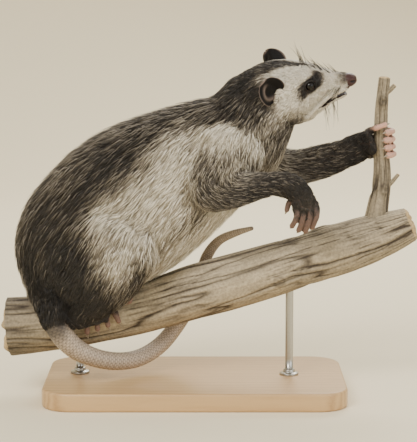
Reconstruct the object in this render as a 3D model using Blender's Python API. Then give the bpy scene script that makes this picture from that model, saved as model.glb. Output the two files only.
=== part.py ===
"""A Virginia opossum, life size, that clings to a cut branch on a plain display stand.

The origin is the middle of the stand's underside. The animal faces +X, +Z is up, and its right side is at
-Y. Lengths here are in millimetres, and SCALE turns them into metres as each mesh is made.
"""
import math

import bpy
import numpy as np

# Driving sizes
SCALE = 0.001
GAP = 0.3  # space kept between two pieces that touch
# How far the tips of the locks stand off the core under them
TRUNK_COAT, NECK_COAT, THIGH_COAT = 8.0, 5.5, 5.0
# Length, width and thickness of a lock
TRUNK_LOCK, THIGH_LOCK = (76.0, 44.0, 6.5), (44.0, 31.0, 4.5)
SPACE = 1.3  # how far the region of a limb stands off the limb when the body is parted

BASE_LENGTH, BASE_WIDTH, BASE_THICK, BASE_CORNER, BASE_EDGE = 300.0, 170.0, 18.0, 30.0, 2.0
ROD_RADIUS, ROD_XS = 4.0, (-117.0, 95.0)

HEAD_AT, HEAD_PITCH, HEAD_ROLL, HEAD_YAW = (75.0, 0.0, 299.0), 11.6, 20.0, 6.0
EYE_RADIUS, EYE_AT = 4.9, (41.0, 18.6, 11.0)
NOSE_START, NOSE_LENGTH = 79.0, 8.0
EAR_WIDTH, EAR_WALL, EAR_CUP = 27.0, 1.6, 9.0
# Root, tip, and the way that the cup opens, in the head's own frame. The left ear stands out more than the right
EARS = {
    "left": ((10.5, 24.0, 12.5), (0.5, 42.5, 31.0), (0.65, 0.68, -0.25)),
    "right": ((5.5, -26.5, 10.0), (-2.0, -33.5, 31.0), (0.58, -0.81, 0.0)),
}
NECK_CUT_X = 45.0  # along the body
HEAD_CUT_X, HEAD_CUT_TILT = -4.0, 25.0  # along the head's own middle line
TRUNK_ROWS = 7  # rows of locks
UPPER_LIP_RADIUS, LOWER_LIP_RADIUS = 1.9, 1.4
UPPER_LID_RADIUS, LOWER_LID_RADIUS = 1.7, 1.3
NOSTRIL_RADIUS = 1.9

FINGER_RADIUS, TOE_RADIUS, CLAW_LENGTH = 3.5, 3.9, 6.0
FINGER_SPACING, TOE_SPACING = 7.9, 8.2
FAR_LEG_SHIFT = (16.0, 0.0, 5.0)  # the left hind leg stands a little further along the branch

# Stations are the middle of a section and its two radii: x, y, z, then across, which is about level, and
# tall, which is seen from the side
TRUNK = [
    (-146, -14, 104, 20, 22), (-137, -8, 123, 38, 47), (-122, -4, 146, 49, 64), (-93, 0, 172, 57, 74),
    (-62, 0, 194, 61, 77), (-34, 0, 212, 59, 73), (-7, 0, 228, 54, 66), (18, 0, 243, 48, 58),
    (41, 0, 258, 43, 50), (56, 0, 275, 38, 44), (71, 0, 291, 33, 38), (82, 0, 300, 27, 29),
]
# The head's stations are in its own frame: x runs to the nose, and y is 0
HEAD = [
    (-25, 0, 0, 22, 24), (-9, 0, 1, 28, 31.5), (10, 0, 2, 29.5, 32.5), (26, 0, 3, 27.5, 29.5),
    (40, 0, 4, 23, 23.5), (50, 0, 3.5, 17.5, 17.5), (60, 0, 2.5, 13.5, 12.2), (70, 0, 2, 10.8, 9.2),
    (79, 0, 1.5, 8, 7),
]
JAW = [
    (20, 0, -26, 16, 5), (34, 0, -26.4, 14.5, 3.2), (46, 0, -20.9, 12, 3.1), (58, 0, -15.3, 9.6, 2.9),
    (68, 0, -13.2, 7.6, 2.7), (74, 0, -12.7, 5.5, 2.2),
]
NEAR_ARM = [(37, -34, 249, 20, 30), (27, -46, 228, 20, 26), (18, -52, 213, 17, 21), (19, -54, 208, 14, 16)]
NEAR_FOREARM = [
    (19, -54, 210, 15, 17), (41, -58, 212, 13.5, 16), (63, -61, 217.5, 11, 12.5), (82, -62, 219.5, 8.5, 9),
    (94, -62, 217, 7.5, 7.5),
]
FAR_ARM = [(55, 34, 241, 20, 28), (75, 40, 226, 18, 24), (90, 42, 219, 16, 20)]
FAR_FOREARM = [
    (88, 42, 219, 15, 18), (117, 38, 227, 14.5, 18), (143, 30, 236, 12.5, 15.5), (158, 23, 243, 10, 11.5),
    (166, 20, 247, 8, 9.5),
]
THIGH = [
    (-130, -30, 138, 26, 38), (-112, -37, 138, 30, 47), (-90, -42, 142, 31, 48), (-70, -45, 148, 27, 38),
    (-57, -44, 152, 20, 25),
]
SHANK = [
    (-64, -46, 144, 20, 24), (-78, -47, 125, 18.5, 22), (-94, -46, 106, 15, 18), (-108, -42, 92, 11.5, 13),
    (-115, -39, 86, 9, 10),
]
TAIL = [
    (-138, -22, 108, 16, 16), (-139, -40, 90, 13.5, 13.5), (-132, -43, 70, 11.8, 11.8),
    (-118, -39, 53, 10.4, 10.4), (-100, -33, 43, 9.4, 9.4), (-78, -20, 36, 9, 9), (-57, -3, 35.5, 8.8, 8.8),
    (-37, 15, 44, 8.6, 8.6), (-20, 31, 61, 8.2, 8.2), (-5, 37, 84, 7.4, 7.4), (5, 36, 110, 6.6, 6.6),
    (12, 31, 134, 5.8, 5.8), (24, 24, 151, 4.9, 4.9), (40, 16, 160, 3.9, 3.9), (57, 9, 166, 2.2, 2.2),
]
TAIL_PIECES = 5
BRANCH = [
    (-187, 2, 67, 30, 30), (-135, 0, 72, 28.5, 28.5), (-85, 0, 79, 26.5, 26.5), (-47, 1, 88, 26, 26),
    (-5, 0, 101, 27.5, 27.5), (40, 0, 114, 28, 28), (105, 0, 134, 26.5, 26.5), (150, 2, 148, 26.5, 26.5),
    (190, 2, 161, 22, 22), (215, 0, 171, 17, 17),
]
STEM = [
    (178, 3, 160, 14, 14), (183, 6, 188, 11.6, 11.6), (187, 8, 218, 9.8, 9.8), (185.5, 8, 253, 8.2, 8.2),
    (185.5, 7, 283, 7.6, 7.6), (188, 6, 317, 7.2, 7.2),
]

# Twigs of the stem: where each starts, how far it reaches, and its radius
TWIGS = (((184, 6, 300), (14, -3, 10), 3.6), ((186, 6, 206), (17, -2, 15), 3.2))

COLOURS = {  # sRGB hex, roughness, metallic
    "coat": ("8F8A82", 0.9, 0.0), "face_fur": ("D9D2C4", 0.85, 0.0), "dark_fur": ("3A3430", 0.9, 0.0),
    "skin_pink": ("C79A8B", 0.6, 0.0), "tail_skin": ("B79C8A", 0.65, 0.0), "ear_skin": ("2B2626", 0.6, 0.0),
    "eye": ("0C0909", 0.1, 0.0), "bark": ("7A6A55", 0.9, 0.0), "base_wood": ("C9A878", 0.45, 0.0),
    "rod_steel": ("A9A9A6", 0.3, 1.0),
}


def clear_scene():
    """Empties the file that Blender opens with."""
    for obj in list(bpy.data.objects):
        bpy.data.objects.remove(obj, do_unlink=True)


def material(name):
    """The material of a colour's name, made once."""
    made = bpy.data.materials.get(name)
    if made:
        return made
    hex_code, roughness, metallic = COLOURS[name]
    channels = [int(hex_code[i:i + 2], 16) / 255 for i in (0, 2, 4)]
    linear = [c / 12.92 if c <= 0.04045 else ((c + 0.055) / 1.055) ** 2.4 for c in channels]
    made = bpy.data.materials.new(name)
    made.use_nodes = True
    shader = made.node_tree.nodes["Principled BSDF"]
    shader.inputs["Base Color"].default_value = (*linear, 1)
    shader.inputs["Roughness"].default_value = roughness
    shader.inputs["Metallic"].default_value = metallic
    return made


def unit(v):
    """Each row of v at length 1."""
    v = np.asarray(v, float)
    return v / np.maximum(np.linalg.norm(v, axis=-1, keepdims=True), 1e-9)


def smooth(stations, count):
    """count rows on a smooth curve through the stations, evenly spaced along its length."""
    p = np.array(stations, float)
    knots = np.concatenate([[0], np.cumsum(np.linalg.norm(np.diff(p[:, :3], axis=0), axis=1))])
    slopes = np.gradient(p, knots, axis=0)

    def at(u):
        i = np.clip(np.searchsorted(knots, u, side="right") - 1, 0, len(p) - 2)
        span = (knots[i + 1] - knots[i])[:, None]
        s = ((u - knots[i]) / span[:, 0])[:, None]
        return ((2 * s**3 - 3 * s**2 + 1) * p[i] + (s**3 - 2 * s**2 + s) * span * slopes[i]
                + (3 * s**2 - 2 * s**3) * p[i + 1] + (s**3 - s**2) * span * slopes[i + 1])

    fine = at(np.linspace(0, knots[-1], 400))
    walked = np.concatenate([[0], np.cumsum(np.linalg.norm(np.diff(fine[:, :3], axis=0), axis=1))])
    return at(np.interp(np.linspace(0, walked[-1], count), walked, np.linspace(0, knots[-1], 400)))


class Form:
    """Oval sections along a smooth line. Angle 0 is across it, and a quarter turn is tall."""

    def __init__(self, stations, rings, hint=(0, 1, 0), square=2.0, relief=None, coat=None):
        self.rows = smooth(stations, rings)
        self.centre, self.across, self.tall = self.rows[:, :3], self.rows[:, 3], self.rows[:, 4]
        self.along = unit(np.gradient(self.centre, axis=0))
        hint = np.array(hint, float)
        self.side = unit(hint - (self.along @ hint)[:, None] * self.along)
        self.up = unit(np.cross(self.along, self.side))
        self.length = np.linalg.norm(np.diff(self.centre, axis=0), axis=1).sum()
        self.square, self.relief, self.coat = square, relief, coat

    def row(self, values, t):
        """values at the share t of the form's length."""
        place = np.clip(t, 0, 1) * (len(self.centre) - 1)
        i = np.minimum(place.astype(int), len(self.centre) - 2)
        f = place - i
        f = f[..., None] if values.ndim > 1 else f
        return values[i] * (1 - f) + values[i + 1] * f

    def at(self, t, angle, lift=0.0):
        """(point, outward direction) on the surface, lift millimetres above it.

        Stations give the coat's outside, so the surface of a form with a coat lies that deep below them.
        Past an end it goes straight on.
        """
        t, angle = np.broadcast_arrays(np.asarray(t, float), np.asarray(angle, float))
        c, s = np.cos(angle), np.sin(angle)
        power = 2 / self.square
        c, s = np.sign(c) * np.abs(c) ** power, np.sign(s) * np.abs(s) ** power
        a, b = self.row(self.across, t), self.row(self.tall, t)
        extra = lift + (self.relief(t, angle) if self.relief else 0.0) - (self.coat(t) if self.coat else 0.0)
        side, up = self.row(self.side, t), self.row(self.up, t)
        past = ((t - np.clip(t, 0, 1)) * self.length)[..., None] * self.row(self.along, t)
        oval = side * ((a + extra) * c)[..., None] + up * ((b + extra) * s)[..., None]
        outward = side * (c / np.maximum(a, 1))[..., None] + up * (s / np.maximum(b, 1))[..., None]
        return self.row(self.centre, t) + past + oval, unit(outward)

    def holds(self, point, extra=0.0):
        """True where the point is inside the coat's outside, grown by extra."""
        i = np.linalg.norm(self.centre - point, axis=1).argmin()
        off = point - self.centre[i]
        x, y = off @ self.side[i] / (self.across[i] + extra), off @ self.up[i] / (self.tall[i] + extra)
        ends = abs(off @ self.along[i]) < min(self.across[i], self.tall[i]) * 0.8 + extra
        return bool(x * x + y * y < 1 and ends)

    def speed(self, t, angle):
        """Millimetres round the surface to a radian of angle."""
        return np.linalg.norm(self.at(t, angle + 0.02)[0] - self.at(t, angle - 0.02)[0], axis=-1) / 0.04


def tube(form, sides, grow=0.0, domes=(True, True), start=0.0, end=1.0, dome_angles=(35, 65)):
    """(points, faces) of the form's closed surface. A domed end is round, and any other is flat."""
    count = max(3, int(round(len(form.centre) * (end - start))))
    angles = np.arange(sides) * math.tau / sides
    t = np.linspace(start, end, count)
    body = form.at(t[:, None], angles[None, :], grow)[0]
    middle = form.row(form.centre, t)
    along = form.row(form.along, t)
    coat = form.coat(t) if form.coat else 0
    bulge = np.minimum(form.row(form.across, t), form.row(form.tall, t)) + grow - coat
    steps = np.radians(dome_angles)
    first, last = [], []
    for place, sign, dome, rings in ((0, -1, domes[0], first), (-1, 1, domes[1], last)):
        shift = sign * along[place] * (bulge[place] * 0.8 if dome else grow)
        for a in steps if dome else []:
            rings.append(middle[place] + (body[place] - middle[place]) * math.cos(a) + shift * math.sin(a))
        if not dome and grow:
            rings.append(body[place] + shift)
        rings.append(middle[place] + shift)
    rings = first[:-1][::-1] + list(body) + last[:-1]
    points = np.concatenate([*rings, [first[-1]], [last[-1]]])
    faces = []
    for i in range(len(rings) - 1):
        for j in range(sides):
            k = (j + 1) % sides
            a, b, c, d = i * sides + j, i * sides + k, (i + 1) * sides + k, (i + 1) * sides + j
            faces += [(a, b, c), (a, c, d)]
    pole, top = len(points) - 2, (len(rings) - 1) * sides
    for j in range(sides):
        k = (j + 1) % sides
        faces += [(pole, k, j), (pole + 1, top + j, top + k)]
    return points, faces


def lock(form, t, angle, heading, size, tip_lift, sink):
    """(points, faces) of one flat lock of hair.

    Its root is sunk in the form at t and angle, and it bends with the surface towards heading: 0 is along
    the form, and a quarter turn is round it. Its last point is its tip.
    """
    length, width, thick = size
    s = np.array([0, 0.38, 0.74, 1.0])
    turn = s * length * math.sin(heading) / form.speed(t, angle)
    t_line, angles = t + s * length * math.cos(heading) / form.length, angle + turn
    middle = tip_lift * np.array([-0.5, 0.32, 0.76, 1.0]) - sink * np.array([1, 0.3, 0, 0])
    half = width / 2 * np.array([0.72, 1.0, 0.66, 0]) / form.speed(t_line, angles)
    edge = middle - thick * np.array([0.4, 0.5, 0.3, 0])
    over, under = thick * np.array([0.3, 0.4, 0.36, 0]), thick * np.array([0.7, 0.7, 0.5, 0])
    skew = math.cos(heading)  # the width runs across the heading
    drift = half * form.speed(t_line, angles) * math.sin(heading) / form.length
    left = form.at(t_line - drift, angles + half * skew, edge)[0]
    right = form.at(t_line + drift, angles - half * skew, edge)[0]
    top, bottom = form.at(t_line, angles, middle + over)[0], form.at(t_line, angles, middle - under)[0]
    points = np.concatenate([*(np.stack([left[i], top[i], right[i], bottom[i]]) for i in range(3)), top[3:]])
    faces = [(0, 1, 2), (0, 2, 3)]
    for i in range(2):
        for j in range(4):
            a, b, c, d = 4 * i + j, 4 * i + (j + 1) % 4, 4 * i + 4 + (j + 1) % 4, 4 * i + 4 + j
            faces += [(a, d, c), (a, c, b)] if j in (0, 3) else [(a, d, b), (b, d, c)]
    return points, faces + [(8 + (j + 1) % 4, 8 + j, 12) for j in range(4)]


def blade(centre, outward, widths, thicks):
    """(points, faces) of a flat, tapered, diamond-section blade along centre. Its last row is its tip."""
    along = unit(np.gradient(centre, axis=0))
    across = unit(np.cross(along, outward))
    over = unit(np.cross(across, along))
    n = len(centre) - 1
    rows = [np.stack([centre[i] - across[i] * widths[i] / 2, centre[i] + over[i] * thicks[i] / 2,
                      centre[i] + across[i] * widths[i] / 2, centre[i] - over[i] * thicks[i] / 2])
            for i in range(n)]
    points = np.concatenate([*rows, centre[-1:]])
    faces = [(0, 1, 2), (0, 2, 3)]
    for i in range(n - 1):
        for j, flip in ((0, False), (1, True), (2, False), (3, True)):
            a, b, c, d = 4 * i + j, 4 * i + (j + 1) % 4, 4 * i + 4 + (j + 1) % 4, 4 * i + 4 + j
            faces += [(a, c, b), (a, d, c)] if flip else [(a, d, b), (b, d, c)]
    base = 4 * (n - 1)
    faces += [(base + (j + 1) % 4, base + j, len(points) - 1) for j in range(4)]
    return points, faces


def mesh_object(name, shape, colour=None):
    """An object of (points, faces), with its faces pointing out."""
    points, faces = shape
    mesh = bpy.data.meshes.new(name)
    mesh.from_pydata((np.asarray(points) * SCALE).tolist(), [], [tuple(f) for f in faces])
    mesh.update()
    corners = np.asarray(points)[np.array([f[:3] for f in faces])]
    if np.linalg.det(corners - np.asarray(points).mean(axis=0)).sum() < 0:
        mesh.flip_normals()
    obj = bpy.data.objects.new(name, mesh)
    bpy.context.scene.collection.objects.link(obj)
    if colour:
        mesh.materials.append(material(colour))
    return obj


def combine(obj, operation, others, keep_all=False):
    """Joins, cuts or crosses obj with the others, which are then gone, and keeps its largest surface."""
    group = bpy.data.collections.new("operands")
    bpy.context.scene.collection.children.link(group)
    for other in others:
        group.objects.link(other)
    modifier = obj.modifiers.new("combine", "BOOLEAN")
    modifier.operand_type, modifier.collection = "COLLECTION", group
    modifier.operation, modifier.solver = operation, "MANIFOLD"
    keep_result(obj)
    for other in others:
        bpy.data.objects.remove(other, do_unlink=True)
    bpy.data.collections.remove(group)
    if not keep_all:
        largest_surface(obj)
    return obj


def keep_result(obj):
    """Applies obj's modifier."""
    bpy.context.view_layer.update()
    graph = bpy.context.evaluated_depsgraph_get()
    made = bpy.data.meshes.new_from_object(obj.evaluated_get(graph))
    obj.modifiers.clear()
    obj.data = made


def largest_surface(obj):
    """Drops every closed surface of obj but the one of the largest volume."""
    mesh = obj.data
    mesh.calc_loop_triangles()
    points = np.empty(len(mesh.vertices) * 3)
    mesh.vertices.foreach_get("co", points)
    points = points.reshape(-1, 3)
    faces = np.empty(len(mesh.loop_triangles) * 3, int)
    mesh.loop_triangles.foreach_get("vertices", faces)
    faces = faces.reshape(-1, 3)
    label = np.arange(len(points))
    while True:
        low = label[faces].min(axis=1)
        new = label.copy()
        np.minimum.at(new, faces.ravel(), np.repeat(low, 3))
        new = new[new]
        if (new == label).all():
            break
        label = new
    volume = np.bincount(label[faces[:, 0]], np.linalg.det(points[faces]), len(points))
    chosen = faces[label[faces[:, 0]] == volume.argmax()]
    used, index = np.unique(chosen, return_inverse=True)
    made = bpy.data.meshes.new(obj.name)
    made.from_pydata(points[used].tolist(), [], index.reshape(-1, 3).tolist())
    for slot in mesh.materials:
        made.materials.append(slot)
    obj.data = made


def copy_of(obj, name):
    """A second object with the same shape."""
    twin = bpy.data.objects.new(name, obj.data.copy())
    bpy.context.scene.collection.objects.link(twin)
    return twin


def head_axes():
    """The head's own forward, left and up directions: pitched up, rolled so its crown leans to -Y, turned to -Y."""
    p, r, w = (math.radians(angle) for angle in (HEAD_PITCH, HEAD_ROLL, HEAD_YAW))
    turn = np.array([(math.cos(w), -math.sin(w), 0), (math.sin(w), math.cos(w), 0), (0, 0, 1)])
    forward = np.array([math.cos(p), 0, math.sin(p)])
    up, left = np.array([-math.sin(p), 0, math.cos(p)]), np.array([0, 1.0, 0])
    axes = forward, left * math.cos(r) + up * math.sin(r), up * math.cos(r) - left * math.sin(r)
    return tuple(axis @ turn for axis in axes)


def from_head(points):
    """Points of the head's own frame in the part's frame."""
    return np.asarray(points, float) @ np.array(head_axes()) + np.array(HEAD_AT)


def head_stations(stations):
    """Stations of the head's own frame in the part's frame."""
    table = np.array(stations, float)
    return np.column_stack([from_head(table[:, :3]), table[:, 3:]])


def mirrored(stations, shift=(0, 0, 0)):
    """Stations of the left side from those of the right side."""
    return [(x + shift[0], shift[1] - y, z + shift[2], *radii) for x, y, z, *radii in stations]


def block(corner, axes, sizes):
    """(points, faces) of a box from its corner, its three directions and its three sizes."""
    axes = np.array(axes, float) * np.array(sizes, float)[:, None]
    points = [np.array(corner, float) + i * axes[0] + j * axes[1] + k * axes[2]
              for i in (0, 1) for j in (0, 1) for k in (0, 1)]
    quads = [(0, 1, 3, 2), (4, 6, 7, 5), (0, 4, 5, 1), (2, 3, 7, 6), (0, 2, 6, 4), (1, 5, 7, 3)]
    return np.array(points), [t for a, b, c, d in quads for t in ((a, b, c), (a, c, d))]


def ball(centre, radius, rings=8, sides=12, axis=(0, 1, 0)):
    """(points, faces) of a sphere whose poles lie on axis."""
    axis = unit(axis)
    side = unit(np.cross(axis, (0.3, 0.2, 1)))
    up = np.cross(axis, side)
    turns = np.arange(sides) * math.tau / sides
    points = [np.asarray(centre, float) - axis * radius]
    for i in range(1, rings):
        a = math.pi * i / rings
        points += [centre - axis * radius * math.cos(a)
                   + (side * math.cos(w) + up * math.sin(w)) * radius * math.sin(a) for w in turns]
    points.append(np.asarray(centre, float) + axis * radius)
    faces = [(0, 1 + (j + 1) % sides, 1 + j) for j in range(sides)]
    for i in range(rings - 2):
        for j in range(sides):
            k = (j + 1) % sides
            a, b = 1 + i * sides, 1 + (i + 1) * sides
            faces += [(a + j, a + k, b + k), (a + j, b + k, b + j)]
    end, low = len(points) - 1, 1 + (rings - 2) * sides
    faces += [(low + j, low + (j + 1) % sides, end) for j in range(sides)]
    return np.array(points), faces


def bark_relief(t, angle):
    """Height of the bark's long ridges and of the branch's swellings."""
    return (0.9 * np.sin(5 * angle + 3 * np.sin(9 * t)) + 0.6 * np.sin(9 * angle + 14 * t)
            + 1.2 * np.sin(23 * t + 2 * np.cos(angle)))


def trunk_coat(t):
    """Depth of the trunk's coat over its core, less towards the head."""
    return TRUNK_COAT + (NECK_COAT - TRUNK_COAT) * np.clip((np.asarray(t) - 0.7) / 0.2, 0, 1)


def thigh_coat(t):
    """Depth of a thigh's coat over its core."""
    return THIGH_COAT * np.ones_like(np.asarray(t, float))


def forms():
    """Every form of the body and the perch, by name."""
    shift = FAR_LEG_SHIFT
    return {
        "trunk": Form(TRUNK, 17, coat=trunk_coat),
        "head": Form(head_stations(HEAD), 15, hint=head_axes()[1], square=2.25),
        "jaw": Form(head_stations(JAW), 7, hint=head_axes()[1], square=2.4),
        "upper_foreleg_right": Form(NEAR_ARM, 6), "lower_foreleg_right": Form(NEAR_FOREARM, 9),
        "upper_foreleg_left": Form(FAR_ARM, 5), "lower_foreleg_left": Form(FAR_FOREARM, 9),
        "thigh_right": Form(THIGH, 7, coat=thigh_coat), "shank_right": Form(SHANK, 6),
        "thigh_left": Form(mirrored(THIGH, shift), 7, coat=thigh_coat),
        "shank_left": Form(mirrored(SHANK, shift), 6),
        "tail": Form(TAIL, 36), "branch": Form(BRANCH, 20, relief=bark_relief), "stem": Form(STEM, 9),
    }


def finger(points, radius, tip_radius, claw=CLAW_LENGTH, claw_down=(0, 0, -1)):
    """Shapes of one digit along points, with a curved claw on its tip unless claw is 0."""
    stations = [(*p, r, r) for p, r in zip(points, np.linspace(radius, tip_radius, len(points)))]
    form = Form(stations, 4 if len(points) < 6 else len(points) - 1, hint=(0.31, 0.9, 0.3))
    shapes = [tube(form, 5, domes=(False, True), dome_angles=(50,))]
    if claw:
        forward, down = form.along[-1], unit(claw_down)
        steps = np.linspace(0, 1, 3)[:, None]
        line = form.centre[-1] - forward * 1.5 + forward * steps * (claw + 3) + down * steps**2 * claw * 0.5
        width = 2.4 * (1 - steps[:, 0] ** 1.5)
        shapes.append(blade(line, np.cross(np.broadcast_to(down, line.shape), forward), width * 1.2, width))
    return shapes


def around(form, t, angle, lift):
    """Points that keep lift from a form's surface, at shares t and angles in degrees."""
    return form.at(np.asarray(t, float), np.radians(np.asarray(angle, float)), lift)[0]


def join_shapes(name, shapes, colour):
    """One object made of the shapes, fused."""
    first = mesh_object(name, shapes[0], colour)
    return combine(first, "UNION", [mesh_object(f"{name}_piece", s) for s in shapes[1:]])


def set_on_end(form, stations, rings, sides, angle):
    """(points, faces) of a domed tube through stations that starts flat, GAP off the flat end of a form."""
    start, along = form.centre[-1] + form.along[-1] * GAP, form.along[-1]
    run = Form([(*start, form.across[-1], form.tall[-1]), *stations], rings, hint=form.side[-1])
    points, faces = tube(run, sides, domes=(False, True), dome_angles=(angle,))
    points[:sides] += ((start - points[:sides]) @ along)[:, None] * along
    return points, faces


def hanging_hand(forearm):
    """The right forefoot, hanging from its wrist with its back to -Y."""
    palm = [(102, -63, 210, 7, 10.5), (106, -63, 198, 6, 13), (107, -62, 192, 5, 12)]
    shapes = [set_on_end(forearm, palm, 6, 10, 50)]
    for i in range(4):
        root, tip = 97 + 6.4 * i, 94 + 6.5 * i
        drop = (5, 1, 0, 4)[i]
        line = [(root, -62, 200), (root + 1.5, -65, 190), ((root + tip) / 2 + 1, -64, 181 + drop / 2),
                (tip, -60, 173 + drop)]
        shapes += finger(line, FINGER_RADIUS + 0.3, FINGER_RADIUS - 0.8, claw_down=(-0.4, 0.9, -0.2))
    thumb = [(97, -60, 207), (91, -58, 200), (89, -57, 193)]
    return shapes + finger(thumb, FINGER_RADIUS, FINGER_RADIUS - 0.7, claw_down=(0.5, 0.8, 0))


def share_at_height(form, z):
    """The share of the form's length where its middle line is at height z."""
    return float(np.interp(z, form.centre[:, 2], np.linspace(0, 1, len(form.centre))))


def share_at_x(form, x):
    """The share of the form's length where its middle line is at x."""
    return float(np.interp(x, form.centre[:, 0], np.linspace(0, 1, len(form.centre))))


def gripping_hand(stem, forearm):
    """The left forefoot, its four fingers round the front of the stem and its thumb round the back."""
    palm = [(170, 14, 250, 7.5, 12), (172.5, 7, 252, 6, 13.5), (175, 0, 253, 4, 12)]
    shapes = [set_on_end(forearm, palm, 6, 10, 50)]
    for i in range(4):
        t = share_at_height(stem, 264 - FINGER_SPACING * i)
        turn = np.linspace(95, -166 + 7 * abs(i - 1.3), 9)
        line = around(stem, np.full(9, t), turn, FINGER_RADIUS + GAP + 0.5)
        shapes += finger(line, FINGER_RADIUS + 0.1, FINGER_RADIUS - 0.7, claw_down=(0.25, 1, -0.5))
    t = share_at_height(stem, 272)
    line = around(stem, np.linspace(t - 0.04, t, 5), np.linspace(112, 196, 5), FINGER_RADIUS + GAP + 0.5)
    return shapes + finger(line, FINGER_RADIUS, FINGER_RADIUS - 0.6, claw_down=(0, 1, 0))


def gripping_foot(branch, side, shift):
    """A hind foot on the branch's flank: four clawed toes hook over it, and the great toe lies along it.

    side is -1 for the right foot and 1 for the left one.
    """
    def place(x, angle, lift):
        turn = np.where(side > 0, angle, 180 - np.asarray(angle, float))
        return around(branch, [share_at_x(branch, v + shift) for v in np.atleast_1d(x)], turn, lift)

    ankle, ball_of_foot = place([-115], 14, 11)[0], place([-91], 18, 8)[0]
    mid = (ankle + ball_of_foot) / 2 + (0, side * 0.5, 0)
    sole = Form([(*ankle, 9, 9), (*mid, 8, 9.5), (*ball_of_foot, 7, 10.5)], 6)
    shapes = [tube(sole, 9, dome_angles=(50,))]
    for i in range(4):
        xs = np.linspace(-104 + TOE_SPACING * i, -108 + (TOE_SPACING + 2.2) * i, 6)
        line = place(xs, np.linspace(26 - 1.5 * i, -15 + 3.5 * i, 6), TOE_RADIUS + GAP + 0.5)
        shapes += finger(line, TOE_RADIUS + 0.4, TOE_RADIUS - 1, claw_down=(0.3, -side * 0.9, -0.5))
    hallux = place(np.linspace(-86, -62, 4), np.array([27, 30, 31, 30]), np.array([6.0, 6, 5.6, 5.2]) + GAP)
    return shapes + finger(hallux, TOE_RADIUS + 1, TOE_RADIUS + 0.3, claw=0)


def ear(side):
    """(points, faces) of one ear: a thin cup that opens forwards and outwards."""
    root, tip, opening = (np.array(v) for v in EARS[side])
    up = unit(tip - root)
    across = unit(np.cross(up, opening))
    face = unit(np.cross(across, up))
    rows, columns = 7, 7
    height = np.linalg.norm(tip - root)
    v, u = np.meshgrid(np.linspace(0, 1, rows), np.linspace(-1, 1, columns), indexing="ij")
    v = np.sin(v * math.pi / 2)
    half = EAR_WIDTH / 2 * np.sqrt(np.clip(1 - ((v - 0.45) / 0.57) ** 2, 0.015, 1))
    bend = EAR_CUP * (u * half * 2 / EAR_WIDTH) ** 2 * (1.1 - 0.6 * v) + 3.5 * (v - 0.4) ** 2
    line = root + up * (v * height)[..., None] + across * (u * half)[..., None] + face * bend[..., None]
    wall = EAR_WALL * (1 - 0.45 * v) * (1 - 0.35 * u**2)
    front, back = line + face * (wall / 2)[..., None], line - face * (wall / 2)[..., None]
    return sheet_solid(front, back)


def sheet_solid(front, back):
    """(points, faces) of the closed solid between two like grids, split into triangles alike on both."""
    rows, columns = front.shape[:2]
    n = rows * columns
    points = from_head(np.concatenate([front.reshape(-1, 3), back.reshape(-1, 3)]))
    faces = []
    for i in range(rows - 1):
        for j in range(columns - 1):
            a, b = i * columns + j, i * columns + j + 1
            c, d = b + columns, a + columns
            faces += [(a, b, c), (a, c, d), (a + n, c + n, b + n), (a + n, d + n, c + n)]
    edge = ([(0, j) for j in range(columns)] + [(i, columns - 1) for i in range(1, rows)]
            + [(rows - 1, j) for j in range(columns - 2, -1, -1)] + [(i, 0) for i in range(rows - 2, 0, -1)])
    ids = [i * columns + j for i, j in edge]
    for a, b in zip(ids, ids[1:] + ids[:1]):
        faces += [(a, b + n, b), (a, a + n, b + n)]
    return points, faces


def lid_ridges(sign):
    """Shapes of the upper and lower lid: two thin arcs that hug the eyeball."""
    eye = np.array(EYE_AT) * (1, sign, 1)
    out = unit(np.array([0.42, sign * 0.88, 0.22]))
    ahead = unit(np.cross(np.cross(out, (1, 0, 0.1)), out))
    rise = np.cross(out, ahead) * (1 if sign < 0 else -1)
    rise = rise if rise[2] > 0 else -rise
    shapes = []
    ring = EYE_RADIUS + 0.4
    for low, high, radius in ((-8, 188, UPPER_LID_RADIUS), (188, 352, LOWER_LID_RADIUS)):
        turns = np.radians(np.linspace(low, high, 9))[:, None]
        line = eye + out * 2.6 + (ahead * np.cos(turns) * 1.12 + rise * np.sin(turns) * 0.86) * ring
        stations = [(*p, radius, radius) for p in from_head(line)]
        shapes.append(tube(Form(stations, 7, hint=(0.1, 0.3, 1)), 4, domes=(False, False)))
    return shapes


def lip_ridges(sign):
    """Shape of one upper lip: a thin roll along the muzzle's lower edge, from mouth corner to nose."""
    line = [(31, 21.5, -20.5), (42, 17.5, -14.5), (54, 12.8, -8.6), (66, 9.3, -5.2), (77, 5.5, -3.4)]
    points = from_head([(x, y * sign, z) for x, y, z in line])
    stations = [(*p, UPPER_LIP_RADIUS, UPPER_LIP_RADIUS) for p in points]
    return tube(Form(stations, 6, hint=(0, 1, 0.2)), 5, domes=(True, False), dome_angles=(50,))


def jaw_lip(sign):
    """Shape of one lower lip, along the upper edge of the jaw."""
    line = [(38, 12.8, -23.2), (50, 10.4, -17.3), (62, 8.1, -12.6), (72, 4.6, -11.4)]
    points = from_head([(x, y * sign, z) for x, y, z in line])
    stations = [(*p, LOWER_LIP_RADIUS, LOWER_LIP_RADIUS) for p in points]
    return tube(Form(stations, 5, hint=(0, 1, 0.2)), 5, domes=(False, False))


def solid(body, name, grow=0.0, domes=None, start=0.0):
    """The named form's own solid, or that solid grown."""
    flat_start, flat_end = name in ("branch", "stem"), name.startswith(("branch", "stem", "lower_foreleg"))
    return tube(body[name], SIDES.get(name, 12), grow, domes or (not flat_start, not flat_end), start)


def spaces(body, *names):
    """Cutters that leave GAP round the named forms."""
    return [mesh_object("space", solid(body, name, GAP)) for name in names]


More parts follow.
